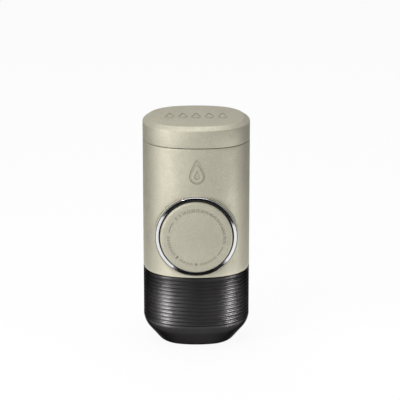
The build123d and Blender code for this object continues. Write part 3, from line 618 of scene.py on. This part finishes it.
for first, last in stroke_arcs:
    strokes = round((last - first) / stroke_pitch)
    for number in range(strokes + 1):
        length = stroke_length * (1 if number % 2 else short_stroke)
        angle = first + (last - first) * number / strokes
        keep_cutter(flat_box(stroke_width, length), angle)
for first, last in bar_arcs:
    links = round(last - first)
    step = radians((last - first) / links)
    for number in range(links):
        angle = first + (number + 0.5) * degrees(step)
        keep_cutter(flat_box(link_overlap * mark_radius * step, bar_width), angle)
print(f"{len(cutters)} cutters with the strokes and bars")

# %% [markdown]
# A padlock is a small box with a torus half sunk into it for the shackle. The open one has its shackle
# raised, which is all that tells the two ends of the turn apart.

# %% Padlocks
closed_lock, open_lock = 180.0, 223.5
lock_width, lock_height = 1.3 * MM, 1.05 * MM
lock_drop = 0.3 * lock_height
shackle_radius, shackle_wire = 0.42 * MM, 0.14 * MM
shackle_rise = 0.35 * lock_height
shackle_lift = 0.35 * MM
shackle_steps, wire_steps = 24, 8

for angle, raised in ((closed_lock, 0.0), (open_lock, shackle_lift)):
    keep_cutter(flat_box(lock_width, lock_height, (0, -lock_drop, 0)), angle)
    bpy.ops.mesh.primitive_torus_add(
        major_radius=shackle_radius,
        minor_radius=shackle_wire,
        major_segments=shackle_steps,
        minor_segments=wire_steps,
    )
    shackle = bpy.context.object
    shackle.data.transform(Matrix.Translation((0, shackle_rise + raised, 0)))
    keep_cutter(shackle, angle)
print(f"{len(cutters)} cutters with the padlocks")

# %% [markdown]
# The cap could be cut mark by mark, but each Boolean goes through the whole mesh. All cutters are joined
# into one piece first, and a single Boolean engraves the cap. The cutters wear a finish of their own, which
# the cut hands on to the floor of every mark.

# %% Engrave the cap
bpy.ops.object.select_all(action="DESELECT")
for piece in cutters:
    piece.select_set(True)
graver = cutters[0]
graver.name = "graver"
bpy.context.view_layer.objects.active = graver
bpy.ops.object.join()
open_piece(graver)
close_piece(graver)
graver.data.materials.clear()
graver.data.materials.append(bpy.data.materials.new("etched_satin"))
push_button.data.materials.append(bpy.data.materials.new("champagne_satin"))
cut(push_button, graver, overlapping=True)
open_piece(push_button)
close_piece(push_button, crease=30)

# %% [markdown]
# ## Water tank
#
# The tank is moulded, with thirteen round grooves for grip and a foot that draws in to a flat base. Grooves
# could be painted into a bump, but they show in the outline, so they are real. The wall is extruded ring by
# ring and scaled at each ring, which draws the grooves. The foot is made by repeated insets of the bottom
# face, each a little deeper than the last, and these follow two arcs with a straight slope between them.

# %% Rings of the grooves
seam_gap = 0.3 * MM
tank_top = casing_low.z - seam_gap
groove_count = 13
groove_pitch = 2.25 * MM
top_groove = tank_top - 2.6 * MM
groove_radius = 0.8 * MM
groove_depth = 0.5 * MM
groove_steps = (0.88, 0.66, 0.33)
lip_round = 0.1 * MM
lip_ease = 0.3


def groove_rings(middle):
    """Heights and insets of one groove from its lower lip to its upper lip."""
    centre_inset = groove_radius - groove_depth
    reach = sqrt(groove_radius**2 - centre_inset**2)
    half = [(reach + lip_round, 0), (reach, lip_ease * lip_round)]
    for step in groove_steps:
        half.append((step * reach, sqrt(groove_radius**2 - (step * reach) ** 2) - centre_inset))
    below = [(middle - offset, inset) for offset, inset in half]
    above = [(middle + offset, inset) for offset, inset in reversed(half)]
    return [*below, (middle, groove_depth), *above]


print(f"a groove takes {len(groove_rings(top_groove))} rings, the top one lies at {top_groove / MM:.2f} mm")

# %% Rings of the foot
shoulder_height = 11.7 * MM
shoulder_round = 8.9 * MM
foot_inset = 9.9 * MM
foot_round = 5.4 * MM
arc_rows = 9


def foot_rings():
    """Heights and insets of the foot, from the wall down to the flat base."""
    slope = atan2(foot_inset, shoulder_height)
    rings = []
    wall_end = shoulder_height + shoulder_round * tan(slope / 2)
    base_start = foot_inset + foot_round * tan((pi / 2 - slope) / 2)
    for step in range(arc_rows + 1):
        angle = slope * step / arc_rows
        rings.append((wall_end - shoulder_round * sin(angle), shoulder_round * (1 - cos(angle))))
    for step in range(arc_rows + 1):
        angle = slope + (pi / 2 - slope) * step / arc_rows
        rings.append((foot_round * (1 - sin(angle)), base_start - foot_round * cos(angle)))
    return rings


foot = foot_rings()
print(f"the foot takes {len(foot)} rings, from {foot[0][0] / MM:.1f} mm down to the base")

# %% Wall, grooves and foot
first_row = 0.1 * MM
wall_start = foot[0][0]

water_vessel = section_block("water_vessel", wall_start, wall_start + first_row)
pick_bottom()
for (height, inset), (next_height, next_inset) in zip(foot, foot[1:]):
    bpy.ops.mesh.inset(thickness=next_inset - inset, depth=height - next_height)
pick_top()
height, inset = wall_start + first_row, 0
for number in reversed(range(groove_count)):
    for next_height, next_inset in groove_rings(top_groove - number * groove_pitch):
        rise(next_height - height)
        scale = (half_width - next_inset) / (half_width - inset)
        bpy.ops.transform.resize(value=(scale, scale, 1), center_override=(0, 0, 0))
        height, inset = next_height, next_inset
rise(tank_top - height)
round_rim(tank_top, casing_edge)
close_piece(water_vessel)

# %% [markdown]
# The tank is filled through a neck that also locks it under the casing. Neck and bore are plain cylinders,
# so one small tool makes both, with a bevel where a rim is seen.

# %% Neck
neck_radius = 25.5 * MM
neck_wall = 2.2 * MM
neck_edge = 0.3 * MM
tank_wall = 2.2 * MM


def tube(name, radius, low, high, edge=0.0):
    """A solid cylinder on the main axis between two heights, with its top edge bevelled."""
    bpy.ops.object.select_all(action="DESELECT")
    bpy.ops.mesh.primitive_cylinder_add(
        vertices=turning_steps, radius=radius, depth=high - low, location=(0, 0, (low + high) / 2)
    )
    bpy.ops.object.transform_apply(location=True)
    piece = bpy.context.object
    piece.name = name
    if edge:
        open_piece(piece)
        round_rim(high, edge)
        bpy.ops.object.mode_set(mode="OBJECT")
    return piece


neck = tube("neck", neck_radius, tank_top - tank_wall / 2, tank_high.z, neck_edge)
cut(water_vessel, neck, "UNION")
print(f"neck {2 * neck_radius / MM:.0f} mm across, up to {tank_high.z / MM:.1f} mm")

# %% [markdown]
# The neck carries four short thread ridges, so that a quarter turn locks it. A full screw thread would need
# a Screw modifier, but a short ridge is only a profile spun through a part of a turn and tilted a little.
# The first one is copied and turned three times, still in edit mode, so that all four are one piece.

# %% Thread ridges
thread_count = 4
thread_arc = radians(62)
thread_tilt = radians(2.2)
thread_steps = 24
thread_root, thread_depth = 0.9 * MM, 0.9 * MM
thread_foot, thread_crest = 2.2 * MM, 0.7 * MM
ridge_middle = (casing_low.z - seam_gap / 2 + tank_high.z) / 2
ridge_profile = (
    (neck_radius - thread_root, -thread_foot / 2),
    (neck_radius + thread_depth, -thread_crest / 2),
    (neck_radius - thread_root, thread_foot / 2),
    (neck_radius + thread_depth, thread_crest / 2),
)

bpy.ops.object.select_all(action="DESELECT")
bpy.ops.mesh.primitive_plane_add(size=MM)
ridges = bpy.context.object
ridges.name = "thread_ridges"
for corner, (radius, level) in zip(ridges.data.vertices, ridge_profile):
    corner.co = (radius, 0, level)
open_piece(ridges)
bpy.ops.mesh.select_all(action="SELECT")
bpy.ops.mesh.spin(steps=thread_steps, angle=thread_arc, center=(0, 0, 0), axis=(0, 0, 1))
bpy.ops.object.mode_set(mode="OBJECT")
ridges.rotation_euler = (0, 0, thread_arc / 2)
bpy.ops.object.transform_apply(rotation=True)
ridges.rotation_euler = (thread_tilt, 0, 0)
ridges.location.z = ridge_middle
bpy.ops.object.transform_apply(location=True, rotation=True)
open_piece(ridges)
bpy.ops.mesh.select_all(action="SELECT")
for _ in range(thread_count - 1):
    bpy.ops.mesh.duplicate()
    bpy.ops.transform.rotate(value=2 * pi / thread_count, orient_axis="Z", center_override=(0, 0, 0))
close_piece(ridges)
cut(water_vessel, ridges, "UNION")

# %% [markdown]
# Last, the space for the water is taken out. A Solidify modifier would repeat every groove and ridge on the
# inside, so the space is a block of its own: smooth, set in by the wall, and tapered along the foot so that
# the floor and the slope keep their thickness.

# %% Space for the water
tank_floor = 2.4 * MM
cavity_run = tank_wall / cos(atan2(foot_inset, shoulder_height))
cavity_inset = foot_inset * (1 - tank_floor / shoulder_height) + cavity_run
cavity_shoulder = shoulder_height * (1 + (cavity_run - tank_wall) / foot_inset)

cavity = section_block("cavity", cavity_shoulder, tank_top - tank_wall, tank_wall)
pick_bottom()
bpy.ops.mesh.inset(thickness=cavity_inset - tank_wall, depth=cavity_shoulder - tank_floor)
close_piece(cavity)
cut(water_vessel, cavity)
bore = tube("bore", neck_radius - neck_wall, tank_top - 2 * tank_wall, tank_high.z + overshoot)
cut(water_vessel, bore)
open_piece(water_vessel)
close_piece(water_vessel, crease=30)

# %% [markdown]
# ## Return spring
#
# The spring that pushes the button out is one round wire. It could be a curve with a bevel, but a Screw
# modifier winds it as the real one is wound: a small circle is carried round an axis and along it. Once the
# modifier is applied, the coil is laid down behind the button and its two cut ends are closed.

# %% Return spring
coil_low, coil_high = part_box("return_spring")
wire_radius = 0.55 * MM
wire_sides = 12
coil_turns = 8
coil_steps = 48
coil_radius = coil_high.x - wire_radius
coil_axis_height = (coil_low.z + coil_high.z) / 2

bpy.ops.object.select_all(action="DESELECT")
bpy.ops.mesh.primitive_circle_add(vertices=wire_sides, radius=wire_radius, rotation=(pi / 2, 0, 0))
bpy.ops.object.transform_apply(rotation=True)
coil_spring = bpy.context.object
coil_spring.name = "coil_spring"
coil_spring.data.transform(Matrix.Translation((coil_radius, 0, 0)))
winding = coil_spring.modifiers.new("winding", "SCREW")
winding.axis = "Z"
winding.steps = coil_steps
winding.render_steps = coil_steps
winding.iterations = coil_turns
winding.screw_offset = (coil_high.y - coil_low.y - 2 * wire_radius) / coil_turns
winding.use_merge_vertices = True
bpy.ops.object.modifier_apply(modifier=winding.name)
coil_end = Matrix.Translation((0, coil_high.y - wire_radius, coil_axis_height))
coil_spring.data.transform(coil_end @ Matrix.Rotation(pi / 2, 4, "X"))
open_piece(coil_spring)
bpy.ops.mesh.select_mode(type="EDGE")
bpy.ops.mesh.select_non_manifold()
bpy.ops.mesh.fill_holes(sides=wire_sides)
close_piece(coil_spring, crease=60)

# %% [markdown]
# ## Shared surface effects
#
# Real surfaces are never even. Painted wear would need unwrapping and would stretch over the grooves, so
# every effect here is worked out from the piece's own coordinates. Each one is a node group, built once and
# placed in each finish with its own values, like a brush that many paints share.


# %% Node tools
def new_group(name, inputs, output):
    """An empty shader group with float inputs and one float output."""
    group = bpy.data.node_groups.new(name, "ShaderNodeTree")
    for label, value in inputs.items():
        socket = group.interface.new_socket(label, in_out="INPUT", socket_type="NodeSocketFloat")
        socket.default_value = value
    group.interface.new_socket(output, in_out="OUTPUT", socket_type="NodeSocketFloat")
    return group, group.nodes.new("NodeGroupInput").outputs, group.nodes.new("NodeGroupOutput").inputs


def add_node(tree, kind, inputs=(), **settings):
    """Adds one node, sets its properties, and gives its inputs a value or a link."""
    node = tree.nodes.new(kind)
    for key, value in settings.items():
        setattr(node, key, value)
    for target, source in inputs:
        if hasattr(source, "node"):
            tree.links.new(source, node.inputs[target])
        else:
            node.inputs[target].default_value = source
    return node


def calculate(tree, operation, first, second):
    """One step of arithmetic on two values or sockets."""
    return add_node(tree, "ShaderNodeMath", [(0, first), (1, second)], operation=operation).outputs[0]


def noise(tree, size, detail, roughness):
    """Soft noise on the piece's own coordinates, with lumps of a size in millimetres."""
    position = add_node(tree, "ShaderNodeTexCoord").outputs["Object"]
    scale = calculate(tree, "DIVIDE", 1 / MM, size)
    inputs = [("Vector", position), ("Scale", scale), ("Detail", detail), ("Roughness", roughness)]
    return add_node(tree, "ShaderNodeTexNoise", inputs).outputs["Fac"]


def spread(tree, value, start, end, low=0.0, high=1.0):
    """Maps a value between a start and an end to a low and a high result."""
    inputs = [("Value", value), ("From Min", start), ("From Max", end), ("To Min", low), ("To Max", high)]
    return add_node(tree, "ShaderNodeMapRange", inputs).outputs["Result"]


print(f"noise with lumps of 1 mm has a scale of {1 / MM:.0f}")

# %% [markdown]
# Grain is what a sprayed, blasted or moulded surface feels like under a nail. The group gives only a height,
# and each finish turns it into tilted normals with a Bump node. Unevenness is much larger and softer: a slow
# change between a low and a high value, used for colour, gloss and flecks alike.

# %% Grain
grain_detail, grain_roughness = 3.0, 0.6
grain_group, grain_in, grain_out = new_group("grain", {"Grain size mm": 0.3, "Height": 0.1}, "Height")
pits = noise(grain_group, grain_in["Grain size mm"], grain_detail, grain_roughness)
grain_height = calculate(grain_group, "MULTIPLY", pits, grain_in["Height"])
grain_group.links.new(grain_height, grain_out["Height"])
print(f"grain: {len(grain_group.nodes)} nodes")

# %% Unevenness
cloud_detail, cloud_roughness = 4.0, 0.55
cloud_thin, cloud_full = 0.3, 0.7
cloud_group, cloud_in, cloud_out = new_group(
    "unevenness", {"Patch size mm": 12.0, "Low": 0.0, "High": 1.0}, "Value"
)
clouds = noise(cloud_group, cloud_in["Patch size mm"], cloud_detail, cloud_roughness)
cloud_value = spread(cloud_group, clouds, cloud_thin, cloud_full, cloud_in["Low"], cloud_in["High"])
cloud_group.links.new(cloud_value, cloud_out["Value"])
print(f"unevenness: {len(cloud_group.nodes)} nodes")

# %% [markdown]
# Hands and pockets rub a finish paler at its edges, and that paler edge also paints a highlight on them.
# Corners get painted shade: they are darkened as if less light reached them. Both places can be found
# without a painted texture. A Bevel node rounds the normal near an edge, so where it differs from the true
# normal there is an edge. Ambient occlusion tells how much of the sky a point sees, so where that is little
# there is a crevice.

# %% Edge mask
edge_kept, edge_turned = 0.995, 0.93
edge_samples = 4
edge_group, edge_in, edge_out = new_group("edge_mask", {"Width mm": 0.3}, "Mask")
edge_width = calculate(edge_group, "MULTIPLY", edge_in["Width mm"], MM)
rounded = add_node(edge_group, "ShaderNodeBevel", [("Radius", edge_width)], samples=edge_samples)
flat = add_node(edge_group, "ShaderNodeNewGeometry")
both_normals = [(0, rounded.outputs["Normal"]), (1, flat.outputs["Normal"])]
likeness = add_node(edge_group, "ShaderNodeVectorMath", both_normals, operation="DOT_PRODUCT")
edge_group.links.new(spread(edge_group, likeness.outputs["Value"], edge_kept, edge_turned), edge_out["Mask"])
print(f"edge mask: {len(edge_group.nodes)} nodes")

# %% Crevice mask, for painted shade
sky_open, sky_shut = 0.95, 0.45
sky_samples = 6
crevice_group, crevice_in, crevice_out = new_group("crevice", {"Reach mm": 2.0}, "Mask")
sky_reach = calculate(crevice_group, "MULTIPLY", crevice_in["Reach mm"], MM)
sky = add_node(crevice_group, "ShaderNodeAmbientOcclusion", [("Distance", sky_reach)], samples=sky_samples)
crevice_group.links.new(spread(crevice_group, sky.outputs["AO"], sky_open, sky_shut), crevice_out["Mask"])
print(f"crevice mask: {len(crevice_group.nodes)} nodes")

# %% [markdown]
# ## A finish from its parts
#
# Every finish here is one Principled shader with the same few layers: a colour that wanders between two,
# perhaps flecks, painted shade in the crevices and paler worn edges that double as a painted highlight over
# it, uneven gloss and a grain. A finish could be wired up by hand each time, but with one recipe only the
# values differ, and they can be compared at a glance.


# %% Layers of a finish
def shader_of(material):
    """The Principled shader of a material."""
    material.use_nodes = True
    return material.node_tree.nodes["Principled BSDF"]


def use_group(tree, group, values):
    """Places a shared group in a material with its own values, and gives its output."""
    node = tree.nodes.new("ShaderNodeGroup")
    node.node_tree = group
    for label, value in values.items():
        node.inputs[label].default_value = value
    return node.outputs[0]


def blend(tree, first, second, factor, blend_type="MIX"):
    """Mixes two colours, each a plain colour or a socket, by a factor."""
    mix = add_node(tree, "ShaderNodeMix", data_type="RGBA", blend_type=blend_type)
    for label, source in (("A", first), ("B", second), ("Factor", factor)):
        if hasattr(source, "node"):
            tree.links.new(source, mix.inputs[label])
        else:
            mix.inputs[label].default_value = (*source, 1) if isinstance(source, tuple) else source
    return mix.outputs["Result"]


print(f"{len(bpy.data.node_groups)} shared groups can be placed in a finish")

# %% [markdown]
# In the recipe, sizes are in millimetres. Flecks are a size and a strength, worn edges with their painted
# highlight and the painted shade of crevices a width, a strength and a colour, and the grain a size and a
# height. Gloss changes in finer patches than the colour does, as wiped metal does.


# %% The recipe
gloss_finer = 3


def dress(name, metallic, colours, gloss, grain, patch, flecks=None, wear_and_highlight=None, painted_shade=None):
    """Makes a finish of uneven colour, flecks, painted shade in crevices, worn edges with a painted
    highlight, uneven gloss and grain.
    """
    material = bpy.data.materials.get(name) or bpy.data.materials.new(name)
    shader = shader_of(material)
    shader.inputs["Metallic"].default_value = metallic
    tree = material.node_tree
    colour = blend(tree, *colours, use_group(tree, cloud_group, {"Patch size mm": patch}))
    if flecks:
        size, strength = flecks
        fleck_values = {"Patch size mm": size, "Low": 1 - strength, "High": 1 + strength}
        colour = blend(tree, colour, use_group(tree, cloud_group, fleck_values), 1.0, "MULTIPLY")
    # painted shade darkens the crevices; the paler worn edges are wear and also a painted highlight
    for layer, group, label in ((painted_shade, crevice_group, "Reach mm"), (wear_and_highlight, edge_group, "Width mm")):
        if layer:
            size, strength, layer_colour = layer
            found = calculate(tree, "MULTIPLY", use_group(tree, group, {label: size}), strength)
            colour = blend(tree, colour, layer_colour, found)
    tree.links.new(colour, shader.inputs["Base Color"])
    gloss_values = {"Patch size mm": patch / gloss_finer, "Low": gloss[0], "High": gloss[1]}
    tree.links.new(use_group(tree, cloud_group, gloss_values), shader.inputs["Roughness"])
    size, height = grain
    fine = use_group(tree, grain_group, {"Grain size mm": size, "Height": height})
    bump = add_node(tree, "ShaderNodeBump", [("Height", fine), ("Strength", 1.0), ("Distance", MM)])
    tree.links.new(bump.outputs["Normal"], shader.inputs["Normal"])
    print(f"{name}: {len(tree.nodes)} nodes")
    return material


# %% [markdown]
# ## Champagne satin paint
#
# The casing, lid and button wear the same sprayed metal paint. Plain metal would draw each lamp as a sharp
# stripe, and plain plastic would have no glow, so the paint is mostly metallic and quite rough: a lamp
# becomes a broad soft band. Fine flecks make it read as paint with metal flake, and the edges are rubbed a
# little paler, which also paints a highlight on them. Painted shade darkens the seams and the pressed lines.

# %% Champagne satin paint
satin = dress(
    "champagne_satin",
    metallic=0.9,
    colours=((0.500, 0.480, 0.392), (0.536, 0.515, 0.420)),
    gloss=(0.60, 0.70),
    grain=(0.16, 0.012),
    patch=14.0,
    flecks=(0.5, 0.13),
    # paler rubbed edges, partly wear and partly a painted highlight
    wear_and_highlight=(0.35, 0.35, (0.66, 0.63, 0.52)),
    # painted shade: a dark colour laid into the seams and the pressed lines
    painted_shade=(2.5, 0.6, (0.20, 0.186, 0.145)),
)

# %% [markdown]
# The marks on the cap are etched through the paint. Filled with black they would look printed, and left in
# the paint's own colour they would vanish. Their floor is only darker and less metallic, which is enough to
# make such shallow marks readable from arm's length.

# %% Etched marks of the cap
dress(
    "etched_satin",
    metallic=0.3,
    colours=((0.20, 0.18, 0.13), (0.24, 0.22, 0.16)),
    gloss=(0.55, 0.65),
    grain=(0.1, 0.01),
    patch=3.0,
)

# %% [markdown]
# ## Charcoal tank
#
# The tank is near black with a soft sheen. Plain black plastic turns pale where the eye meets it at a low
# angle. Treating it as a dark metal with a dark edge tint keeps its sides deep, while the lamps still draw
# bands down its wall. The rims of the grooves are made paler, as if polished by the hand that unscrews the
# tank, which also paints a highlight on them, and painted shade darkens the grooves and the seams.

# %% Charcoal tank
edge_tint = 0.3
charcoal = dress(
    "charcoal_satin",
    metallic=1.0,
    colours=((0.0360, 0.0346, 0.0353), (0.0440, 0.0422, 0.0431)),
    gloss=(0.32, 0.40),
    grain=(0.2, 0.006),
    patch=9.0,
    flecks=(0.4, 0.08),
    # paler groove rims, partly wear and partly a painted highlight
    wear_and_highlight=(0.3, 0.4, (0.075, 0.072, 0.073)),
    # painted shade: near black laid into the grooves and the crevices
    painted_shade=(1.0, 0.45, (0.010, 0.010, 0.010)),
)
shader_of(charcoal).inputs["Specular Tint"].default_value = (edge_tint, edge_tint, edge_tint, 1)

# %% [markdown]
# ## Chrome
#
# Chrome is a bright metal with hardly any roughness. At a roughness of nothing it would look computed, so
# faint cloudy smudges, as fingers leave them, raise it a little in places.

# %% Chrome
chrome = dress(
    "bright_chrome",
    metallic=1.0,
    colours=((0.78, 0.78, 0.79), (0.82, 0.82, 0.83)),
    gloss=(0.04, 0.09),
    grain=(0.5, 0.0004),
    patch=6.0,
)

# %% [markdown]
# ## Black moulding, steel and silicone
#
# The inner parts get three finishes: black moulding with rubbed edges for the frame and the pump, turned
# steel for screws, pins and springs, and matt silicone for the seals. One plain grey would do while they
# are hidden. But they are seen when the lid, the head or the tank is off, and then moulding, metal and
# rubber have to be told apart.

# %% Black moulding
# the same black also paints the shade of the gap on the ring's lip
black = dress(
    "black_moulding_and_gap_shade",
    metallic=0.0,
    colours=((0.012, 0.012, 0.013), (0.018, 0.018, 0.019)),
    gloss=(0.42, 0.55),
    grain=(0.25, 0.012),
    patch=7.0,
    wear_and_highlight=(0.3, 0.5, (0.05, 0.05, 0.052)),
)

# %% Stainless steel
steel = dress(
    "turned_steel",
    metallic=1.0,
    colours=((0.56, 0.55, 0.53), (0.64, 0.63, 0.61)),
    gloss=(0.22, 0.34),
    grain=(0.12, 0.004),
    patch=5.0,
)

# %% Silicone
rubber = dress(
    "matt_silicone",
    metallic=0.0,
    colours=((0.30, 0.30, 0.29), (0.36, 0.36, 0.35)),
    gloss=(0.55, 0.68),
    grain=(0.3, 0.008),
    patch=6.0,
)

# %% [markdown]
# ## Finishes on the pieces
#
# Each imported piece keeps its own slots, and a slot's name says which finish belongs there, so one table
# dresses all forty. The six new pieces ride on a body, so that they move with it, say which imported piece
# they stand for, and name their slot.

# %% Put the finishes on
finishes = {
    "satin_shell": satin,
    "tank_plastic": charcoal,
    "chrome_bezel": chrome,
    "dark_plastic": black,
    "stainless": steel,
    "silicone": rubber,
}
for node in nodes.values():
    for slot in node.material_slots:
        slot.material = finishes[slot.material.name]
for piece, body, part, finish in (
    (lid_cover, "lid_body", "lid_shell", "satin_shell"),
    (casing, "main_body", "body_shell", "satin_shell"),
    (bezel, "main_body", "bezel_ring", "chrome_bezel"),
    (push_button, "button_body", "button_cap", "satin_shell"),
    (water_vessel, "water_tank_body", "water_tank", "tank_plastic"),
    (coil_spring, "main_body", "return_spring", "stainless"),
):
    if not piece.data.materials:
        piece.data.materials.append(None)
    piece.data.materials[0] = finishes[finish]
    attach(piece, body)
    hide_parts(part)
    print(f"{piece.name} stands for {part}")

# %% [markdown]
# ## Camera
#
# A wide lens close by would make the lid look larger than the foot. A long lens from a metre away and a
# little above keeps the tall sides almost parallel, the way small products are shown.

# %% Camera
camera_lens = 164.79
camera_place = (0, -1.02985, 0.36669)
camera_tilt, camera_turn = radians(74.567), radians(-0.121)

camera_data = bpy.data.cameras.new("camera")
camera_data.lens = camera_lens
camera = bpy.data.objects.new("camera", camera_data)
bpy.context.scene.collection.objects.link(camera)
camera.location = camera_place
camera.rotation_euler = (camera_tilt, 0, camera_turn)
bpy.context.scene.camera = camera
print(f"a lens of {camera_lens:.0f} mm, {Vector(camera_place).length:.2f} m away")

# %% [markdown]
# ## Floor and cards
#
# Chrome and satin metal show the room, so the room is part of the finish. It could be a painted sky wrapped
# round the scene, but plain cards are easier to place and to change. A dark card shows in reflections only:
# it is never seen itself, and it casts no shadow on the floor.

# %% Card maker
card_black = 0.01
card_dark = 0.05
card_lift = 0.001


def card(name, size, location, aim, colour):
    """A flat card that faces a point, part of the studio. A dark one shows in reflections only."""
    bpy.ops.object.select_all(action="DESELECT")
    facing = (Vector(aim) - Vector(location)).to_track_quat("Z", "Y").to_euler()
    bpy.ops.mesh.primitive_plane_add(size=1, location=location, rotation=facing)
    piece = bpy.context.object
    piece.name = name
    piece.scale = (*size, 1)
    material = bpy.data.materials.new(name)
    shader = shader_of(material)
    shader.inputs["Base Color"].default_value = (colour, colour, colour, 1)
    shader.inputs["Roughness"].default_value = 1
    shader.inputs["Specular IOR Level"].default_value = 0
    piece.data.materials.append(material)
    bright = colour > card_dark
    piece.visible_camera = bright
    piece.visible_diffuse = bright
    piece.visible_shadow = bright
    print(f"{name}: {size[0]} x {size[1]} m")
    return piece


def lying_card(name, size, x, y, colour):
    """A card just above the floor, face up."""
    return card(name, size, (x, y, card_lift), (x, y, 1), colour)


def standing_card(name, size, x, y, aim_x, aim_y, colour):
    """A card that stands on the floor and faces a point level with its own middle."""
    middle = size[1] / 2
    return card(name, size, (x, y, middle), (aim_x, aim_y, middle), colour)


# %% [markdown]
# The floor is white to the eye and in mirrors, while it still takes the object's shadow. A light path node
# tells which ray asks: for the camera, for a reflection and through glass, most of the floor's own shading
# gives way to a plain white glow. All other rays meet a pale grey floor, so it doesn't light the object
# from below more than a real one would.

# %% Floor
floor_size = 6
floor_colour = 0.8
white_share = 0.92
floor = card("floor", (floor_size, floor_size), (0, 0, 0), (0, 0, 1), floor_colour)
floor_tree = floor.data.materials[0].node_tree
rays = add_node(floor_tree, "ShaderNodeLightPath").outputs
seen = calculate(floor_tree, "MAXIMUM", rays["Is Camera Ray"], rays["Is Glossy Ray"])
seen_or_through = calculate(floor_tree, "MAXIMUM", seen, rays["Is Transmission Ray"])
glow_share = calculate(floor_tree, "MULTIPLY", seen_or_through, white_share)
white = add_node(floor_tree, "ShaderNodeEmission", [("Strength", 1.0)])
plain = floor_tree.nodes["Principled BSDF"]
shaders = [("Fac", glow_share), (1, plain.outputs[0]), (2, white.outputs[0])]
blend_floor = add_node(floor_tree, "ShaderNodeMixShader", shaders)
floor_tree.links.new(blend_floor.outputs[0], floor_tree.nodes["Material Output"].inputs["Surface"])
print(f"the floor is {white_share:.0%} white to the eye")

# %% [markdown]
# The dark cards are what the metal has to mirror besides white. The narrow ones in front draw the black
# arcs in the chrome ring, the one behind keeps the lid's top from washing out, and those at the sides hold
# the edges of the body darker than its middle.

# %% Dark cards in front and behind
wedge_size, wedge_x, wedge_y = (0.053, 0.12), -0.0035, -0.175
stand_size, stand_x, stand_y = (0.15, 0.145), -0.009, -0.5
wall_size, wall_y, wall_z, wall_aim = (1.0, 0.6), -1.5, 0.5, 0.35
shade_size, shade_y, shade_z, shade_aim = (1.2, 0.5), 0.65, 0.75, 0.1
lying_card("front_floor_card", wedge_size, wedge_x, wedge_y, card_black)
standing_card("front_card", stand_size, stand_x, stand_y, stand_x, 0, card_black)
card("front_wall_card", wall_size, (0, wall_y, wall_z), (0, 0, wall_aim), card_black)
card("back_card", shade_size, (0, shade_y, shade_z), (0, 0, shade_aim), card_black)

# %% Dark cards at the sides
flag_size, flag_x, flag_y = (0.5, 0.9), 0.39, 0.47
upright_size, upright_x, upright_y = (0.9, 0.3), 0.62, 0.4
for side in (-1, 1):
    lying_card("side_floor_card", flag_size, side * flag_x, flag_y, card_dark)
    standing_card("side_card", upright_size, side * upright_x, upright_y, 0, upright_y, card_dark)

# %% [markdown]
# ## Lamps
#
# A tall strip close by on the left draws the casing's bright band, and a short one low on the right answers
# it more softly. A large box fills from the left, and another hangs overhead for the lid. Two low lamps with
# a narrow beam stand beside the tank, because a dark wall seen from above mirrors what stands low before it.


# %% Lamp maker
def softbox(name, azimuth, distance, height, size, power, aim_height=None, beam=180):
    """A rectangular lamp at an azimuth from the front, aimed level or at a height on the main axis."""
    lamp_data = bpy.data.lights.new(name, "AREA")
    lamp_data.shape = "RECTANGLE"
    lamp_data.size, lamp_data.size_y = size
    lamp_data.energy = power
    lamp_data.spread = radians(beam)
    lamp = bpy.data.objects.new(name, lamp_data)
    bpy.context.scene.collection.objects.link(lamp)
    angle = radians(azimuth)
    lamp.location = (distance * sin(angle), -distance * cos(angle), height)
    aim = Vector((0, 0, height if aim_height is None else aim_height))
    lamp.rotation_euler = (aim - lamp.location).to_track_quat("-Z", "Y").to_euler()
    print(f"{name}: {power} W")


# %% Lamps
softbox("left_strip", azimuth=-52, distance=0.19, height=0.245, size=(0.0053, 0.49), power=0.175)
softbox("right_strip", azimuth=67, distance=0.16, height=0.03, size=(0.012, 0.06), power=0.0452)

lamp_aim = 0.08
softbox("large_box", azimuth=-40, distance=0.8, height=0.35, size=(0.5, 0.6), power=3.5, aim_height=lamp_aim)
softbox("top_box", azimuth=180, distance=0.1, height=1.0, size=(0.8, 0.8), power=4.6, aim_height=lamp_aim)

low_height, low_size, low_beam = 0.023, (0.05, 0.026), 30
softbox("left_low", azimuth=-56, distance=0.085, height=low_height, size=low_size, power=0.014, beam=low_beam)
softbox("right_low", azimuth=66, distance=0.085, height=low_height, size=low_size, power=0.011, beam=low_beam)

# %% [markdown]
# The world is an even white at about half strength. It stands for the walls and the ceiling, and keeps the
# shaded side from going black. The Standard view shows colours about as they are written.

# %% World and view
world_level = 0.53
world = bpy.data.worlds.new("studio")
bpy.context.scene.world = world
world.use_nodes = True
background = world.node_tree.nodes["Background"]
background.inputs["Color"].default_value = (1, 1, 1, 1)
background.inputs["Strength"].default_value = world_level
bpy.context.scene.view_settings.view_transform = "Standard"
print(f"world at {world_level:.0%} of white")
